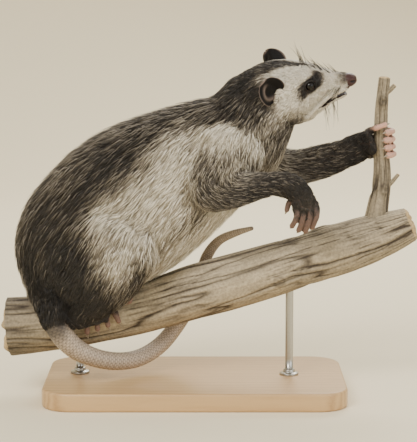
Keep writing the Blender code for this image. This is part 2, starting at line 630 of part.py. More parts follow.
def trunk_locks(body):
    """Locks in staggered rows from neck to rump that droop down the flanks. None is inside a leg."""
    rng = np.random.default_rng(7)
    form, (length, width, thick) = body["trunk"], TRUNK_LOCK
    shapes = []
    for r in range(TRUNK_ROWS):
        t = 0.93 - 0.8 * r / (TRUNK_ROWS - 1)
        small = 0.68 if t > 0.8 else 1.0
        girth = form.speed(np.full(24, t), np.arange(24) * math.tau / 24).mean() * math.tau
        count = int(girth / (width * small * 0.9))
        for k in range(count):
            angle = (k + 0.5 * (r % 2) + rng.uniform(-0.12, 0.12)) * math.tau / count
            place = t + rng.uniform(-0.012, 0.012)
            droop = math.cos(angle) * 0.42 + rng.uniform(-0.1, 0.1)
            scale = rng.uniform(0.9, 1.12) * small * (0.8 if t < 0.2 else 1.0)
            lift = float(form.coat(place)) * rng.uniform(0.85, 1.2)
            root = form.at(place, angle)[0]
            if any(body[name].holds(root, 3.0) for name in UPPER_LEGS) or body["branch"].holds(root, 5.0):
                continue
            size = (length * scale, width * scale, thick)
            shapes.append(lock(form, place, angle, math.pi + droop, size, lift, 3.0))
    return shapes


def thigh_locks(body, side):
    """Locks that lie down and back over the outer half of a thigh."""
    rng = np.random.default_rng(11)
    form, (length, width, thick) = body[f"thigh_{side}"], THIGH_LOCK
    turn = 1 if side == "right" else -1
    shapes = []
    for r, angle in enumerate((104, 150, 192)):
        for k in range(3):
            t = 0.28 + 0.34 * k - 0.16 * (r % 2) + rng.uniform(-0.02, 0.02)
            outer = math.radians(angle if turn > 0 else 180 - angle) + rng.uniform(-0.08, 0.08)
            scale, lift = rng.uniform(0.9, 1.1), THIGH_COAT * rng.uniform(0.85, 1.15)
            heading = turn * (math.radians(122) + rng.uniform(-0.12, 0.12))
            if body["trunk"].holds(form.at(t, outer)[0], -12.0):
                continue
            shapes.append(lock(form, t, outer, heading, (length * scale, width * scale, thick), lift, 2.5))
    return shapes


UPPER_LEGS = ("upper_foreleg_right", "upper_foreleg_left", "thigh_right", "thigh_left")


def coat_object(body, shapes, blocked):
    """The locks as one object, cut clear of the blocked forms, each named with the space left round it."""
    made = mesh_object("coat", shapes[0])
    combine(made, "UNION", [mesh_object("lock", s) for s in shapes[1:]], keep_all=True)
    cutters = [mesh_object("space", solid(body, name, space)) for name, space in blocked.items()]
    return combine(made, "DIFFERENCE", cutters, keep_all=True)


def fused_trunk(body):
    """Trunk, neck and head as one closed surface."""
    shapes = [solid(body, "trunk"), solid(body, "head", domes=(True, False))]
    shapes += [s for sign in (-1, 1) for s in lid_ridges(sign)] + [lip_ridges(-1), lip_ridges(1)]
    whole = join_shapes("torso", shapes, "coat")
    blocked = {name: (THIGH_COAT * 1.3 + 0.5 if "thigh" in name else 0) + GAP for name in UPPER_LEGS}
    combine(whole, "UNION", [coat_object(body, trunk_locks(body), {**blocked, "tail": GAP})])
    eyes = [from_head(np.array(EYE_AT) * (1, sign, 1)) for sign in (-1, 1)]
    combine(whole, "DIFFERENCE", [mesh_object("socket", ball(eye, EYE_RADIUS + GAP, 6, 10)) for eye in eyes])
    return combine(whole, "DIFFERENCE", spaces(body, "branch"))


def part_trunk(whole, body):
    """Parts head and neck from the torso by two flat cuts."""
    forward, left, up = head_axes()
    tilt = math.radians(HEAD_CUT_TILT)
    c, s = math.cos(tilt), math.sin(tilt)
    forward, up = forward * c + up * s, up * c - forward * s
    corner = from_head([HEAD_CUT_X, 0, 0]) - (left + up) * 75
    trunk = body["trunk"]
    share = np.array(share_at_x(trunk, NECK_CUT_X))
    at, along = trunk.row(trunk.centre, share), trunk.row(trunk.along, share)
    level = np.array([0, 1.0, 0])
    over = np.cross(along, level)
    regions = {
        "head": (corner, (forward, left, up), 150),
        "neck": (at - (level + over) * 90, (along, level, over), 180),
    }
    for name, (corner, axes, size) in regions.items():
        piece = copy_of(whole, name)
        combine(piece, "INTERSECT", [mesh_object("region", block(corner, axes, [size] * 3))])
        grown = block(corner - GAP * sum(axes), axes, [size + 2 * GAP] * 3)
        combine(whole, "DIFFERENCE", [mesh_object("region", grown)])
        recolour(piece, NODE_COLOURS[name])


def recolour(obj, colour):
    """Gives obj its own material in place of what it was cut from."""
    obj.data.materials.clear()
    obj.data.materials.append(material(colour))


def limb(body, upper, lower, side, cut, blocked):
    """One leg as two nodes that part at a share of the lower form, each clear of the blocked forms."""
    names = f"{upper}_{side}", f"{lower}_{side}"
    whole = join_shapes(names[0], [solid(body, names[0]), solid(body, names[1])], NODE_COLOURS[upper])
    if upper == "thigh":
        coat = coat_object(body, thigh_locks(body, side), {"tail": GAP})
        combine(whole, "UNION", [coat])
    combine(whole, "DIFFERENCE", spaces(body, *blocked))
    piece = copy_of(whole, names[1])
    for obj, operation, grow in ((piece, "INTERSECT", SPACE), (whole, "DIFFERENCE", SPACE + GAP)):
        region = solid(body, names[1], grow, (False, True), cut)
        combine(obj, operation, [mesh_object("region", region)])
    recolour(piece, NODE_COLOURS[lower])


SIDES = {"trunk": 20, "head": 16, "jaw": 10, "stem": 9, "tail": 9, "branch": 13, "lower_foreleg_right": 10,
         "lower_foreleg_left": 10, "shank_right": 10, "shank_left": 10}
NODE_COLOURS = {"torso": "coat", "neck": "coat", "head": "face_fur", "thigh": "coat",
                "upper_foreleg": "dark_fur", "lower_foreleg": "dark_fur", "shank": "dark_fur"}


def face_pieces(body):
    """Jaw, nose, eyes and ears, each cut clear of the head."""
    jaw = join_shapes("jaw", [solid(body, "jaw"), jaw_lip(-1), jaw_lip(1)], "face_fur")
    combine(jaw, "DIFFERENCE", spaces(body, "head", "trunk"))
    for sign, side in ((-1, "right"), (1, "left")):
        eye = from_head(np.array(EYE_AT) * (1, sign, 1))
        mesh_object(f"eye_{side}", ball(eye, EYE_RADIUS, 7, 10), "eye")
        piece = mesh_object(f"ear_{side}", ear(side), "ear_skin")
        combine(piece, "DIFFERENCE", spaces(body, "head", "trunk"))
    end = NOSE_START + NOSE_LENGTH
    stations = head_stations([(NOSE_START + 2.8, 0, 1.6, 7.2, 6.2), (end - 3.2, 0, 1.2, 5.4, 4.8)])
    nose = mesh_object("nose", set_on_end(body["head"], stations, 5, 12, 45), "skin_pink")
    holes = [from_head((NOSE_START + 4.9, 5.4 * sign, 0.8)) for sign in (-1, 1)]
    combine(nose, "DIFFERENCE", [mesh_object("nostril", ball(hole, NOSTRIL_RADIUS, 5, 7)) for hole in holes])


def tail_pieces(body):
    """The tail in lengths that meet face to face, the first one set on the rump."""
    form = body["tail"]
    cuts = np.linspace(0, 1, TAIL_PIECES + 1)
    half_gap = GAP / 2 / form.length
    for i in range(TAIL_PIECES):
        last = i == TAIL_PIECES - 1
        start, end = cuts[i] + (half_gap if i else 0), cuts[i + 1] - (0 if last else half_gap)
        shape = tube(form, SIDES["tail"], 0.0, (False, last), start, end)
        piece = mesh_object(f"tail_{i + 1}", shape, "tail_skin")
        if i == 0:
            combine(piece, "DIFFERENCE", spaces(body, "trunk", "thigh_right", "branch"))


def perch(body):
    """The cut branch, and its upright stem with two snapped twigs."""
    mesh_object("perch_branch", solid(body, "branch"), "bark")
    shapes = [solid(body, "stem")]
    for start, reach, radius in TWIGS:
        steps = ((0, radius + 1.2), (0.6, radius), (1, radius * 0.7))
        twig = Form([(*(np.array(start) + np.array(reach) * share), r, r) for share, r in steps], 4)
        shapes.append(tube(twig, 6, domes=(True, False), dome_angles=(50,)))
    stem = join_shapes("perch_stem", shapes, "bark")
    combine(stem, "DIFFERENCE", spaces(body, "branch"))


def stand(body):
    """A flat base with round corners, and two rods up to the branch."""
    arc = np.radians(np.linspace(0, 90, 7))
    corners = []
    for quarter, (sx, sy) in enumerate(((1, 1), (-1, 1), (-1, -1), (1, -1))):
        middle = np.array([sx * (BASE_LENGTH / 2 - BASE_CORNER), sy * (BASE_WIDTH / 2 - BASE_CORNER)])
        turn = arc + quarter * math.pi / 2
        corners += [middle + BASE_CORNER * np.array([math.cos(a), math.sin(a)]) for a in turn]
    corners = np.array(corners)
    inset = 1 - 2 * BASE_EDGE / np.array([BASE_LENGTH, BASE_WIDTH])
    rings = [(corners, 0), (corners, BASE_THICK - BASE_EDGE), (corners * inset, BASE_THICK)]
    n = len(corners)
    points = np.concatenate([np.column_stack([ring, np.full(n, z)]) for ring, z in rings])
    faces = [(r * n + j, r * n + (j + 1) % n, (r + 1) * n + (j + 1) % n, (r + 1) * n + j)
             for r in (0, 1) for j in range(n)]
    faces += [tuple(range(n - 1, -1, -1)), tuple(range(2 * n, 3 * n))]
    mesh_object("stand_base", (points, faces), "base_wood")
    for place, x, y in (("rear", ROD_XS[0], 8), ("front", ROD_XS[1], 0)):
        top = body["branch"].row(body["branch"].centre, np.array(share_at_x(body["branch"], x)))[2]
        rod = Form([(x, y, z, ROD_RADIUS, ROD_RADIUS) for z in (BASE_THICK + GAP, top)], 3)
        piece = mesh_object(f"stand_rod_{place}", tube(rod, 12, domes=(False, False)), "rod_steel")
        combine(piece, "DIFFERENCE", spaces(body, "branch"))


def feet(body):
    """Each forefoot and hind foot, cut clear of the leg that it ends."""
    branch, stem = body["branch"], body["stem"]
    right_foot, left_foot = gripping_foot(branch, -1, 0), gripping_foot(branch, 1, FAR_LEG_SHIFT[0])
    shapes = {
        "forefoot_right": (hanging_hand(body["lower_foreleg_right"]), ["lower_foreleg_right"]),
        "forefoot_left": (gripping_hand(stem, body["lower_foreleg_left"]), ["lower_foreleg_left", "stem"]),
        "hindfoot_right": (right_foot, ["shank_right", "thigh_right", "trunk", "tail"]),
        "hindfoot_left": (left_foot, ["shank_left", "thigh_left", "trunk"]),
    }
    for name, (made, blocked) in shapes.items():
        foot = join_shapes(name, made, "skin_pink")
        combine(foot, "DIFFERENCE", spaces(body, *blocked))


def main():
    """Makes every piece in turn."""
    clear_scene()
    body = forms()
    part_trunk(fused_trunk(body), body)
    for side in ("right", "left"):
        limb(body, "upper_foreleg", "lower_foreleg", side, 0.26, ["trunk", "head"])
        limb(body, "thigh", "shank", side, 0.6, ["trunk", "branch"])
    face_pieces(body)
    feet(body)
    tail_pieces(body)
    perch(body)
    stand(body)
    for obj in bpy.context.scene.objects:
        obj.data.shade_smooth()
        obj.data.set_sharp_from_angle(angle=math.radians(40))


main()
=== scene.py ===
"""The finished looks of a Virginia opossum that clings to a cut branch on a plain display stand.

Meshes are worked out in metres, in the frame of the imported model. Tables of places are in millimetres.
"""

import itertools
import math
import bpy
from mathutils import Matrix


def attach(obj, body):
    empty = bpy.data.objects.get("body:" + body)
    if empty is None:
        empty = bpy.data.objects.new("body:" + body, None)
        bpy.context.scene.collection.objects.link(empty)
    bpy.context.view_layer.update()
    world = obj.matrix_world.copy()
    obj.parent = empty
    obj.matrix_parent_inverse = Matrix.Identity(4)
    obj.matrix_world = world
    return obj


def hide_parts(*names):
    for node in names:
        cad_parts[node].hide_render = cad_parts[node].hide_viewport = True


bl_info = {
    "name": "Opossum on a Branch",
    "version": (1, 0, 0),
    "blender": (4, 5, 0),
    "location": "3D Viewport > Sidebar > Opossum",
    "description": "Dresses the packed opossum with skin, coat, eyes, claws, perch and stand",
    "category": "Object",
}

import bpy
import numpy as np
from mathutils import Vector
from mathutils.bvhtree import BVHTree
from mathutils.kdtree import KDTree

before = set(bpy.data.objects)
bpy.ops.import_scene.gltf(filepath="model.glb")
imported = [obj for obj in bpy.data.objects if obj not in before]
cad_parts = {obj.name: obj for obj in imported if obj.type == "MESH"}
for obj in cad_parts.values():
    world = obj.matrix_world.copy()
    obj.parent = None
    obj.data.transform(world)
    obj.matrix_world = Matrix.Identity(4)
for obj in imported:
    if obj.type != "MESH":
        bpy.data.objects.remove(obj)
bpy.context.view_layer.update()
BODY = "root"

MM = 0.001
TAU = math.tau
# Room left between a digit and the wood: the solids' gap, and a little for the skin's own relief
DIGIT_GAP = 0.3 + 0.3

# Stations of each form: x, y, z of the middle of a section, then its half width and half height
TRUNK = [
    (-146, -14, 104, 20, 22), (-137, -8, 123, 38, 47), (-122, -4, 146, 49, 64), (-93, 0, 172, 57, 74),
    (-62, 0, 194, 61, 77), (-34, 0, 212, 59, 73), (-7, 0, 228, 54, 66), (18, 0, 243, 48, 58),
    (41, 0, 258, 43, 50), (56, 0, 275, 38, 44), (71, 0, 291, 33, 38), (82, 0, 300, 27, 29),
]
# The head and jaw are in the head's own frame: x runs to the nose, y to its left, z to its crown
HEAD = [
    (-25, 0, 0, 22, 24), (-9, 0, 1, 28, 31.5), (10, 0, 2, 29.5, 32.5), (26, 0, 3, 27.5, 29.5),
    (40, 0, 4, 23, 23.5), (50, 0, 3.5, 17.5, 17.5), (60, 0, 2.5, 13.5, 12.2), (70, 0, 2, 10.8, 9.2),
    (79, 0, 1.5, 8, 7),
]
JAW = [
    (20, 0, -26, 16, 5), (34, 0, -26.4, 14.5, 3.2), (46, 0, -20.9, 12, 3.1), (58, 0, -15.3, 9.6, 2.9),
    (68, 0, -13.2, 7.6, 2.7), (74, 0, -12.7, 5.5, 2.2),
]
# The left cheek
CHEEK = [
    (12, 15, -18, 10, 9), (28, 15, -20.5, 7, 6.4), (39, 12.6, -18.8, 5, 4.8), (48, 10.6, -16.2, 2.8, 3.0),
]
SIDES = ((-1, "right"), (1, "left"))
# The near side is the animal's right
NEAR_ARM = [(37, -34, 249, 20, 30), (27, -46, 228, 20, 26), (18, -52, 213, 17, 21), (19, -54, 208, 14, 16)]
NEAR_FOREARM = [
    (19, -54, 210, 15, 17), (41, -58, 212, 13.5, 16), (63, -61, 217.5, 11, 12.5), (82, -62, 219.5, 8.5, 9),
    (94, -62, 217, 7.5, 7.5),
]
FAR_ARM = [(55, 34, 241, 20, 28), (75, 40, 226, 18, 24), (90, 42, 219, 16, 20)]
FAR_FOREARM = [
    (88, 42, 219, 15, 18), (117, 38, 227, 14.5, 18), (143, 30, 236, 12.5, 15.5), (158, 23, 243, 10, 11.5),
    (166, 20, 247, 8, 9.5),
]
THIGH = [
    (-130, -30, 138, 26, 38), (-112, -37, 138, 30, 47), (-90, -42, 142, 31, 48), (-70, -45, 148, 27, 38),
    (-57, -44, 152, 20, 25),
]
SHANK = [
    (-64, -46, 144, 20, 24), (-78, -47, 125, 18.5, 22), (-94, -46, 106, 15, 18), (-108, -42, 92, 11.5, 13),
    (-115, -39, 86, 9, 10),
]
TAIL = [
    (-138, -22, 108, 16), (-139, -40, 90, 13.5), (-132, -43, 70, 11.8), (-118, -39, 53, 10.4),
    (-100, -33, 43, 9.4), (-78, -20, 36, 9), (-57, -3, 35.5, 8.8), (-37, 15, 44, 8.6), (-20, 31, 61, 8.2),
    (-5, 37, 84, 7.4),
    (5, 36, 110, 6.6), (12, 31, 134, 5.8), (24, 24, 151, 4.9), (40, 16, 160, 3.9), (57, 9, 166, 2.2),
]
BRANCH = [
    (-187, 2, 67, 30), (-135, 0, 72, 28.5), (-85, 0, 79, 26.5), (-47, 1, 88, 26), (-5, 0, 101, 27.5),
    (40, 0, 114, 28), (105, 0, 134, 26.5), (150, 2, 148, 26.5), (190, 2, 161, 22), (215, 0, 171, 17),
]
STEM = [
    (178, 3, 160, 14), (183, 6, 188, 11.6), (187, 8, 218, 9.8), (185.5, 8, 253, 8.2), (185.5, 7, 283, 7.6),
    (188, 6, 317, 7.2),
]
TAIL_ROOT = [(-136, -15, 118, 21), (-138, -22, 108, 19.6), (-139, -38, 92, 17.2), (-137.5, -42, 83, 15.6)]
FAR_LEG_SHIFT = (16.0, 0.0, 5.0)
HEAD_AT, HEAD_PITCH, HEAD_ROLL, HEAD_YAW = (75.0, 0.0, 299.0), 11.6, 20.0, 6.0
# The left eye and the way that it looks, in the head's own frame
EYE_AT, EYE_WAY = (41.0, 18.6, 11.0), (0.42, 0.88, 0.22)
NOSE_START, NOSE_LENGTH = 79.0, 8.0
# Root, tip, and the way that the cup opens, in the head's own frame
EARS = {
    "left": ((10.5, 24.5, 12.5), (0.0, 43.0, 31.5), (0.65, 0.68, -0.25)),
    "right": ((5.5, -26.0, 9.0), (-2.0, -34.0, 31.5), (0.58, -0.81, 0.0)),
}
FINGER_RADIUS, TOE_RADIUS = 3.5, 3.9
# Share of the branch's length, degrees round it, radius and height of each knot
BRANCH_KNOTS = [
    (0.53, 40, 9, 3.0), (0.66, 200, 7, 2.4), (0.79, 70, 10, 3.0), (0.30, 60, 9, 2.5), (0.9, 20, 8, 2.5),
]
STEM_KNOTS = [(0.86, 180, 6, 2.4), (0.3, 200, 7, 2.2), (0.55, 60, 6, 2)]
STEM_SHADE = 0.72
# Foot, reach and radius of the two stubs on the stem
STUBS = [((184, 6, 300), (14, -3, 10), 3.6), ((186, 6, 206), (17, -2, 15), 3.2)]
# x and y of the stand's rods
RODS = {"rear": (-117, 8), "front": (95, 0)}
# The middle of the picture
VIEW_MIDDLE = (13.5, 0, 174.7)

# By kind of form: depth of the coat, length and width of a tuft (mm), and tufts to a square centimetre
COAT = {
    "trunk": (8.0, 25.0, 1.2, 64), "thigh": (5.0, 18.0, 1.1, 80), "upper_foreleg": (4.5, 15.0, 0.95, 95),
    "lower_foreleg": (3.0, 10.0, 0.75, 120), "shank": (3.0, 11.0, 0.8, 110), "head": (2.0, 8.0, 0.58, 190),
    "jaw": (1.2, 4.5, 0.5, 190), "palm": (1.0, 6.0, 0.6, 140), "digit": (0.3, 3.0, 0.45, 70),
}


def linear(code):
    """The linear colour of an sRGB hex code."""
    values = [int(code[i:i + 2], 16) / 255 for i in (0, 2, 4)]
    return tuple(v / 12.92 if v <= 0.04045 else ((v + 0.055) / 1.055) ** 2.4 for v in values)


# The first colour is painted shade for the inside of the nostrils
NOSTRIL_SHADOW, WHISKER, STEEL, DAYLIGHT = (linear(code) for code in ("140A09", "2A2421", "B4B2AC", "F4EEDF"))


def number(name, value, about, **traits):
    """A plain number that a user can change."""
    return bpy.props.FloatProperty(name=name, description=about, default=value, **traits)


def length_size(name, value, about):
    """A size in metres, given in millimetres, that a user can change."""
    return number(name, value * MM, about, unit="LENGTH", precision=5)


def colour_choice(name, code, about):
    """A colour that a user can change."""
    return bpy.props.FloatVectorProperty(name=name, description=about, default=linear(code), subtype="COLOR")


# The setting of the guard hairs at which the shares given for each form hold
GUARD_SHARE = 0.2


class BodySettings(bpy.types.PropertyGroup):
    """Skin, eyes, ears, nose, claws and tail."""
    skin_step: length_size("Skin step", 1.0, "Spacing of the skin's points before the trunk is thinned")
    skin_faces: bpy.props.IntProperty(name="Skin faces", description="Triangles of the skin", default=190000)
    eye_radius: length_size("Eye radius", 4.7, "Radius of an eyeball")
    ear_width: length_size("Ear width", 29.0, "Width of an ear")
    ear_wall: length_size("Ear wall", 1.5, "Thickness of an ear at its root")
    scale_pitch: length_size("Tail scale pitch", 2.3, "Length of one ring of scales on the tail")
    scale_height: length_size("Tail scale height", 0.32, "How far a scale stands up")
    claw_length: length_size("Claw length", 6.5, "Length of a claw past its toe")
    bare_skin: colour_choice("Bare skin", "C49A88", "Skin of toes and palms")
    dark_skin: colour_choice("Dark skin", "3B312D", "Skin of the feet near the leg, lids and lips")
    # The mouth's colour is near black: painted shade over the mouth's lining
    mouth: colour_choice("Mouth", "2A1312", "Lining of the mouth")
    nose: colour_choice("Nose", "3E2725", "Bare skin of the nose")
    ear: colour_choice("Ear", "100E0E", "Leathery skin of the ears")
    ear_rim: colour_choice("Ear rim", "7A6B63", "Pale edge of the ears")
    tail_pale: colour_choice("Tail", "C9B6A1", "Bare, scaly part of the tail")
    tail_dark: colour_choice("Tail root", "2E2826", "Dark first part of the tail")
    claw: colour_choice("Claw", "8E8170", "Horn of the claws")
    eye: colour_choice("Eye", "0B0706", "The dark iris and pupil")


class CoatSettings(bpy.types.PropertyGroup):
    """Lengths and colours of the fur."""
    length: number("Length", 1.0, "Scales every tuft's length")
    width: number("Width", 1.0, "Scales every tuft's width")
    amount: number("Amount", 1.0, "Scales the count of tufts")
    guard_share: number("Guard hair", GUARD_SHARE, "Share of long pale guard hairs", subtype="FACTOR")
    clump: length_size("Clump", 9.0, "Distance between the points that tips lean to")
    whisker_radius: length_size("Whisker radius", 0.29, "Radius of a whisker at its root")
    black: colour_choice("Black", "141110", "Legs, ears' surroundings and darkest back")
    dark: colour_choice("Dark", "3D362F", "Dark tips on the back")
    grey: colour_choice("Grey", "8A8174", "Mixed grey of the flanks")
    pale: colour_choice("Pale", "C9BFAC", "Pale flank and shoulder")
    white: colour_choice("White", "F1EADB", "Face and guard hairs")


class PerchSettings(bpy.types.PropertyGroup):
    """Branch, stem and stand."""
    ridge: length_size("Bark ridge", 1.0, "Height of the bark's ridges")
    bark_light: colour_choice("Light bark", "CDBD9F", "Tops of the bark's ridges")
    # The dark bark colour is reached in knots and in the cracks, where it is painted shade
    bark_dark: colour_choice("Dark bark", "3B3127", "Furrows of the bark")
    wood: colour_choice("Cut wood", "C7AC80", "Wood at the ends of the branch")
    base_length: length_size("Base length", 300.0, "Length of the stand's base")
    base_width: length_size("Base width", 170.0, "Width of the stand's base")
    base_thick: length_size("Base thickness", 18.0, "Thickness of the stand's base")
    rod_radius: length_size("Rod radius", 4.0, "Radius of the stand's rods")
    base_light: colour_choice("Light wood", "C9A676", "Early wood of the base")
    base_dark: colour_choice("Dark wood", "A47C4D", "Late wood of the base")


class StageSettings(bpy.types.PropertyGroup):
    """Camera, lights and floor."""
    distance: length_size("Camera distance", 1700.0, "From the camera to the middle of the view")
    elevation: number("Elevation", math.radians(8), "Height of the camera above level", subtype="ANGLE")
    view_height: length_size("View height", 442.0, "What the view takes in, from bottom to top")
    floor: colour_choice("Floor", "F3E8CB", "Floor and backdrop")
    key: number("Key light", 42.0, "Power of the key light", unit="POWER")


def settings(name):
    """One of the groups of settings, as the user has left it."""
    return getattr(bpy.context.scene, "opossum_" + name)


def unit(v):
    """Each row of v at length 1."""
    v = np.asarray(v, float)
    return v / np.maximum(np.linalg.norm(v, axis=-1, keepdims=True), 1e-12)


def step_between(low, high, x):
    """0 below low, 1 above high, and an ease between them."""
    s = np.clip((x - low) / (high - low), 0, 1)
    return s * s * (3 - 2 * s)


def bump(points, centre, radii):
    """exp(-r*r), with r the distance from centre measured in radii."""
    return np.exp(-(((points - np.array(centre)) / np.array(radii)) ** 2).sum(-1))


def blend(first, second, share):
    """first where share is 0, second where it is 1, and in between what lies that share of the way."""
    return first * (1 - share) + np.asarray(second) * share


def turns(count):
    """A row of that many angles, evenly spaced round a full turn."""
    return (np.arange(count) * TAU / count)[None, :]


# Large odd numbers that scatter a lattice corner's indices and the seed over all the bits of one number
PLACE_HASH, SEED_HASH, MIX_HASH = (73856093, 19349663, 83492791), 7919, 1274126177


def noise(points, size, seed=0):
    """Smooth noise from -1 to 1: random values at the corners of a lattice of that size, eased in between."""
    p = np.asarray(points, float) / size
    cell = np.floor(p).astype(np.int64)
    f = p - cell
    f = f * f * (3 - 2 * f)
    total = np.zeros(p.shape[:-1])
    for corner in itertools.product((0, 1), repeat=3):
        spread = (cell + corner) * np.array(PLACE_HASH)
        mixed = spread[..., 0] ^ spread[..., 1] ^ spread[..., 2] ^ (seed * SEED_HASH + 13)
        mixed = (mixed ^ (mixed >> 13)) * MIX_HASH & 0x7FFFFFFF
        value = ((mixed >> 7) & 0xFFFF) / 32767.5 - 1
        total += value * np.prod(np.where(corner, f, 1 - f), axis=-1)
    return total


def rows_through(stations, count):
    """count rows on cubic pieces through the stations, evenly spaced along the line of their middles."""
    p = np.array(stations, float)
    knots = np.concatenate([[0], np.cumsum(np.linalg.norm(np.diff(p[:, :3], axis=0), axis=1))])
    slopes = np.gradient(p, knots, axis=0)

    def at(u):
        """Rows at those distances along the straight lines between stations: a cubic piece in each span."""
        i = np.clip(np.searchsorted(knots, u, side="right") - 1, 0, len(p) - 2)
        span = (knots[i + 1] - knots[i])[:, None]
        s = ((u - knots[i]) / span[:, 0])[:, None]
        return ((2 * s**3 - 3 * s**2 + 1) * p[i] + (s**3 - 2 * s**2 + s) * span * slopes[i]
                + (3 * s**2 - 2 * s**3) * p[i + 1] + (s**3 - s**2) * span * slopes[i + 1])

    fine = at(np.linspace(0, knots[-1], 600))
    walked = np.concatenate([[0], np.cumsum(np.linalg.norm(np.diff(fine[:, :3], axis=0), axis=1))])
    return at(np.interp(np.linspace(0, walked[-1], count), walked, np.linspace(0, knots[-1], 600)))


class Limb:
    """Ovals carried along a smooth line.

    The point at share t of the length and at an angle a is middle + side*width*cos(a) + up*height*sin(a), so
    that a quarter turn is the top. With square above 2, the sizes of cos(a) and sin(a) are raised to
    2/square, which fills out the oval's corners.
    """

    # By kind: depth of the skin at the start as a share of the coat's, and how far that falls by the end
    DEPTHS = {"head": (1.15, 0.75), "lower_foreleg": (1.2, 0.75)}

    def __init__(self, stations, kind="plain", rows=60, hint=(0, 1, 0), square=2.0):
        stations = [(*s, s[3]) if len(s) == 4 else tuple(s) for s in stations]
        table = rows_through(stations, rows) * MM
        self.centre, self.across, self.tall = table[:, :3], table[:, 3], table[:, 4]
        self.along = unit(np.gradient(self.centre, axis=0))
        hint = np.array(hint, float)
        self.side = unit(hint - (self.along @ hint)[:, None] * self.along)
        self.up = unit(np.cross(self.along, self.side))
        self.length = np.linalg.norm(np.diff(self.centre, axis=0), axis=1).sum()
        self.kind, self.square = kind, square

    def depth(self, t):
        """How deep the skin lies below the form's outline at share t."""
        t = np.asarray(t, float)
        deep = COAT[self.kind][0] * MM if self.kind in COAT else 0.0
        if self.kind == "trunk":
            return deep - 2.5 * MM * np.clip((t - 0.7) / 0.2, 0, 1)
        start, fall = self.DEPTHS.get(self.kind, (1, 0))
        return deep * (start - fall * t)

    def row(self, values, t):
        """values at share t of the length."""
        place = np.clip(t, 0, 1) * (len(self.centre) - 1)
        i = np.minimum(place.astype(int), len(self.centre) - 2)
        f = (place - i)[..., None] if values.ndim > 1 else place - i
        return values[i] * (1 - f) + values[i + 1] * f

    def at(self, t, angle, lift=0.0):
        """The skin's point at (t, angle), lift above it. Past an end it goes straight on."""
        t, angle = np.broadcast_arrays(np.asarray(t, float), np.asarray(angle, float))
        c, s = (np.sign(w) * np.abs(w) ** (2 / self.square) for w in (np.cos(angle), np.sin(angle)))
        out = lift - self.depth(t)
        past = ((t - np.clip(t, 0, 1)) * self.length)[..., None] * self.row(self.along, t)
        return (self.row(self.centre, t) + past
                + self.row(self.side, t) * ((self.row(self.across, t) + out) * c)[..., None]
                + self.row(self.up, t) * ((self.row(self.tall, t) + out) * s)[..., None])

    def locate(self, points):
        """(share t, angle, distance outside the skin) of each point, with a round dome over each end."""
        near = np.empty(len(points), int)
        reach = (self.centre**2).sum(1)
        for part in np.array_split(np.arange(len(points)), len(points) // 40000 + 1):
            near[part] = (reach - 2 * points[part] @ self.centre.T).argmin(1)
        off = points - self.centre[near]
        step = self.length / (len(self.centre) - 1)
        ahead = (off * self.along[near]).sum(1)
        beyond = np.maximum(np.abs(ahead) - step / 2, 0)
        t = (near + np.clip(ahead / step, -0.5, 0.5)) / (len(self.centre) - 1)
        deep = self.depth(np.clip(t, 0, 1))
        wide, tall = self.across[near] - deep, self.tall[near] - deep
        x, y = (off * self.side[near]).sum(1) / wide, (off * self.up[near]).sum(1) / tall
        share = np.sqrt(x**2 + y**2 + (beyond / (0.8 * np.minimum(wide, tall))) ** 2)
        radius = np.linalg.norm(off - ahead[:, None] * self.along[near] * (beyond == 0)[:, None], axis=1)
        return np.clip(t, 0, 1), np.arctan2(y, x), radius * (1 - 1 / np.maximum(share, 0.05))


def grid_quads(rows, columns, closed=False):
    """Quads of a grid of points, with the last column joined to the first where it is closed."""
    i, j = np.meshgrid(np.arange(rows - 1), np.arange(columns if closed else columns - 1), indexing="ij")
    k = (j + 1) % columns
    quads = np.stack([i * columns + j, i * columns + k, (i + 1) * columns + k, (i + 1) * columns + j], -1)
    return quads.reshape(-1, 4)


# Degrees up a dome at which it has a ring of points
DOME_RINGS = (20, 40, 58, 75)


def closed_tube(grid, domes=(0.8, 0.8)):
    """(points, quads, triangles) of rows of points, closed at each end by a dome.

    A ring of a dome is middle + (row - middle)*cos(a) + along*height*sin(a). Its height is the given share of
    the row's radius.
    """
    rows = list(grid)
    ends = []
    for place, sign in ((0, -1), (-1, 1)):
        middle = rows[place].mean(0)
        along = unit(middle - rows[place - sign].mean(0))
        radius = np.linalg.norm(rows[place] - middle, axis=1).min() * domes[place]
        steps = np.radians(DOME_RINGS) if domes[place] else []
        rings = [middle + (rows[place] - middle) * math.cos(a) + along * radius * math.sin(a) for a in steps]
        ends.append((rings, middle + along * radius))
    rows = ends[0][0][::-1] + rows + ends[1][0]
    points = np.concatenate([*rows, [ends[0][1]], [ends[1][1]]])
    n, m = len(rows), grid.shape[1]
    quads = grid_quads(n, m, closed=True)
    j, k = np.arange(m), (np.arange(m) + 1) % m
    first, last = len(points) - 2, len(points) - 1
    caps = np.concatenate([np.stack([np.full(m, first), k, j], 1),
                           np.stack([np.full(m, last), (n - 1) * m + j, (n - 1) * m + k], 1)])
    return points, quads, caps


def limb_shell(limb, sides, domes=(0.8, 0.8)):
    """closed_tube of a limb's skin."""
    t = np.linspace(0, 1, len(limb.centre))[:, None]
    return closed_tube(limb.at(t, turns(sides)), domes)


def joined(shells):
    """Several (points, quads, triangles) as one."""
    starts = np.cumsum([0] + [len(s[0]) for s in shells[:-1]])
    quads, triangles = (np.concatenate([s[part] + k for s, k in zip(shells, starts)]) for part in (1, 2))
    return np.concatenate([s[0] for s in shells]), quads, triangles


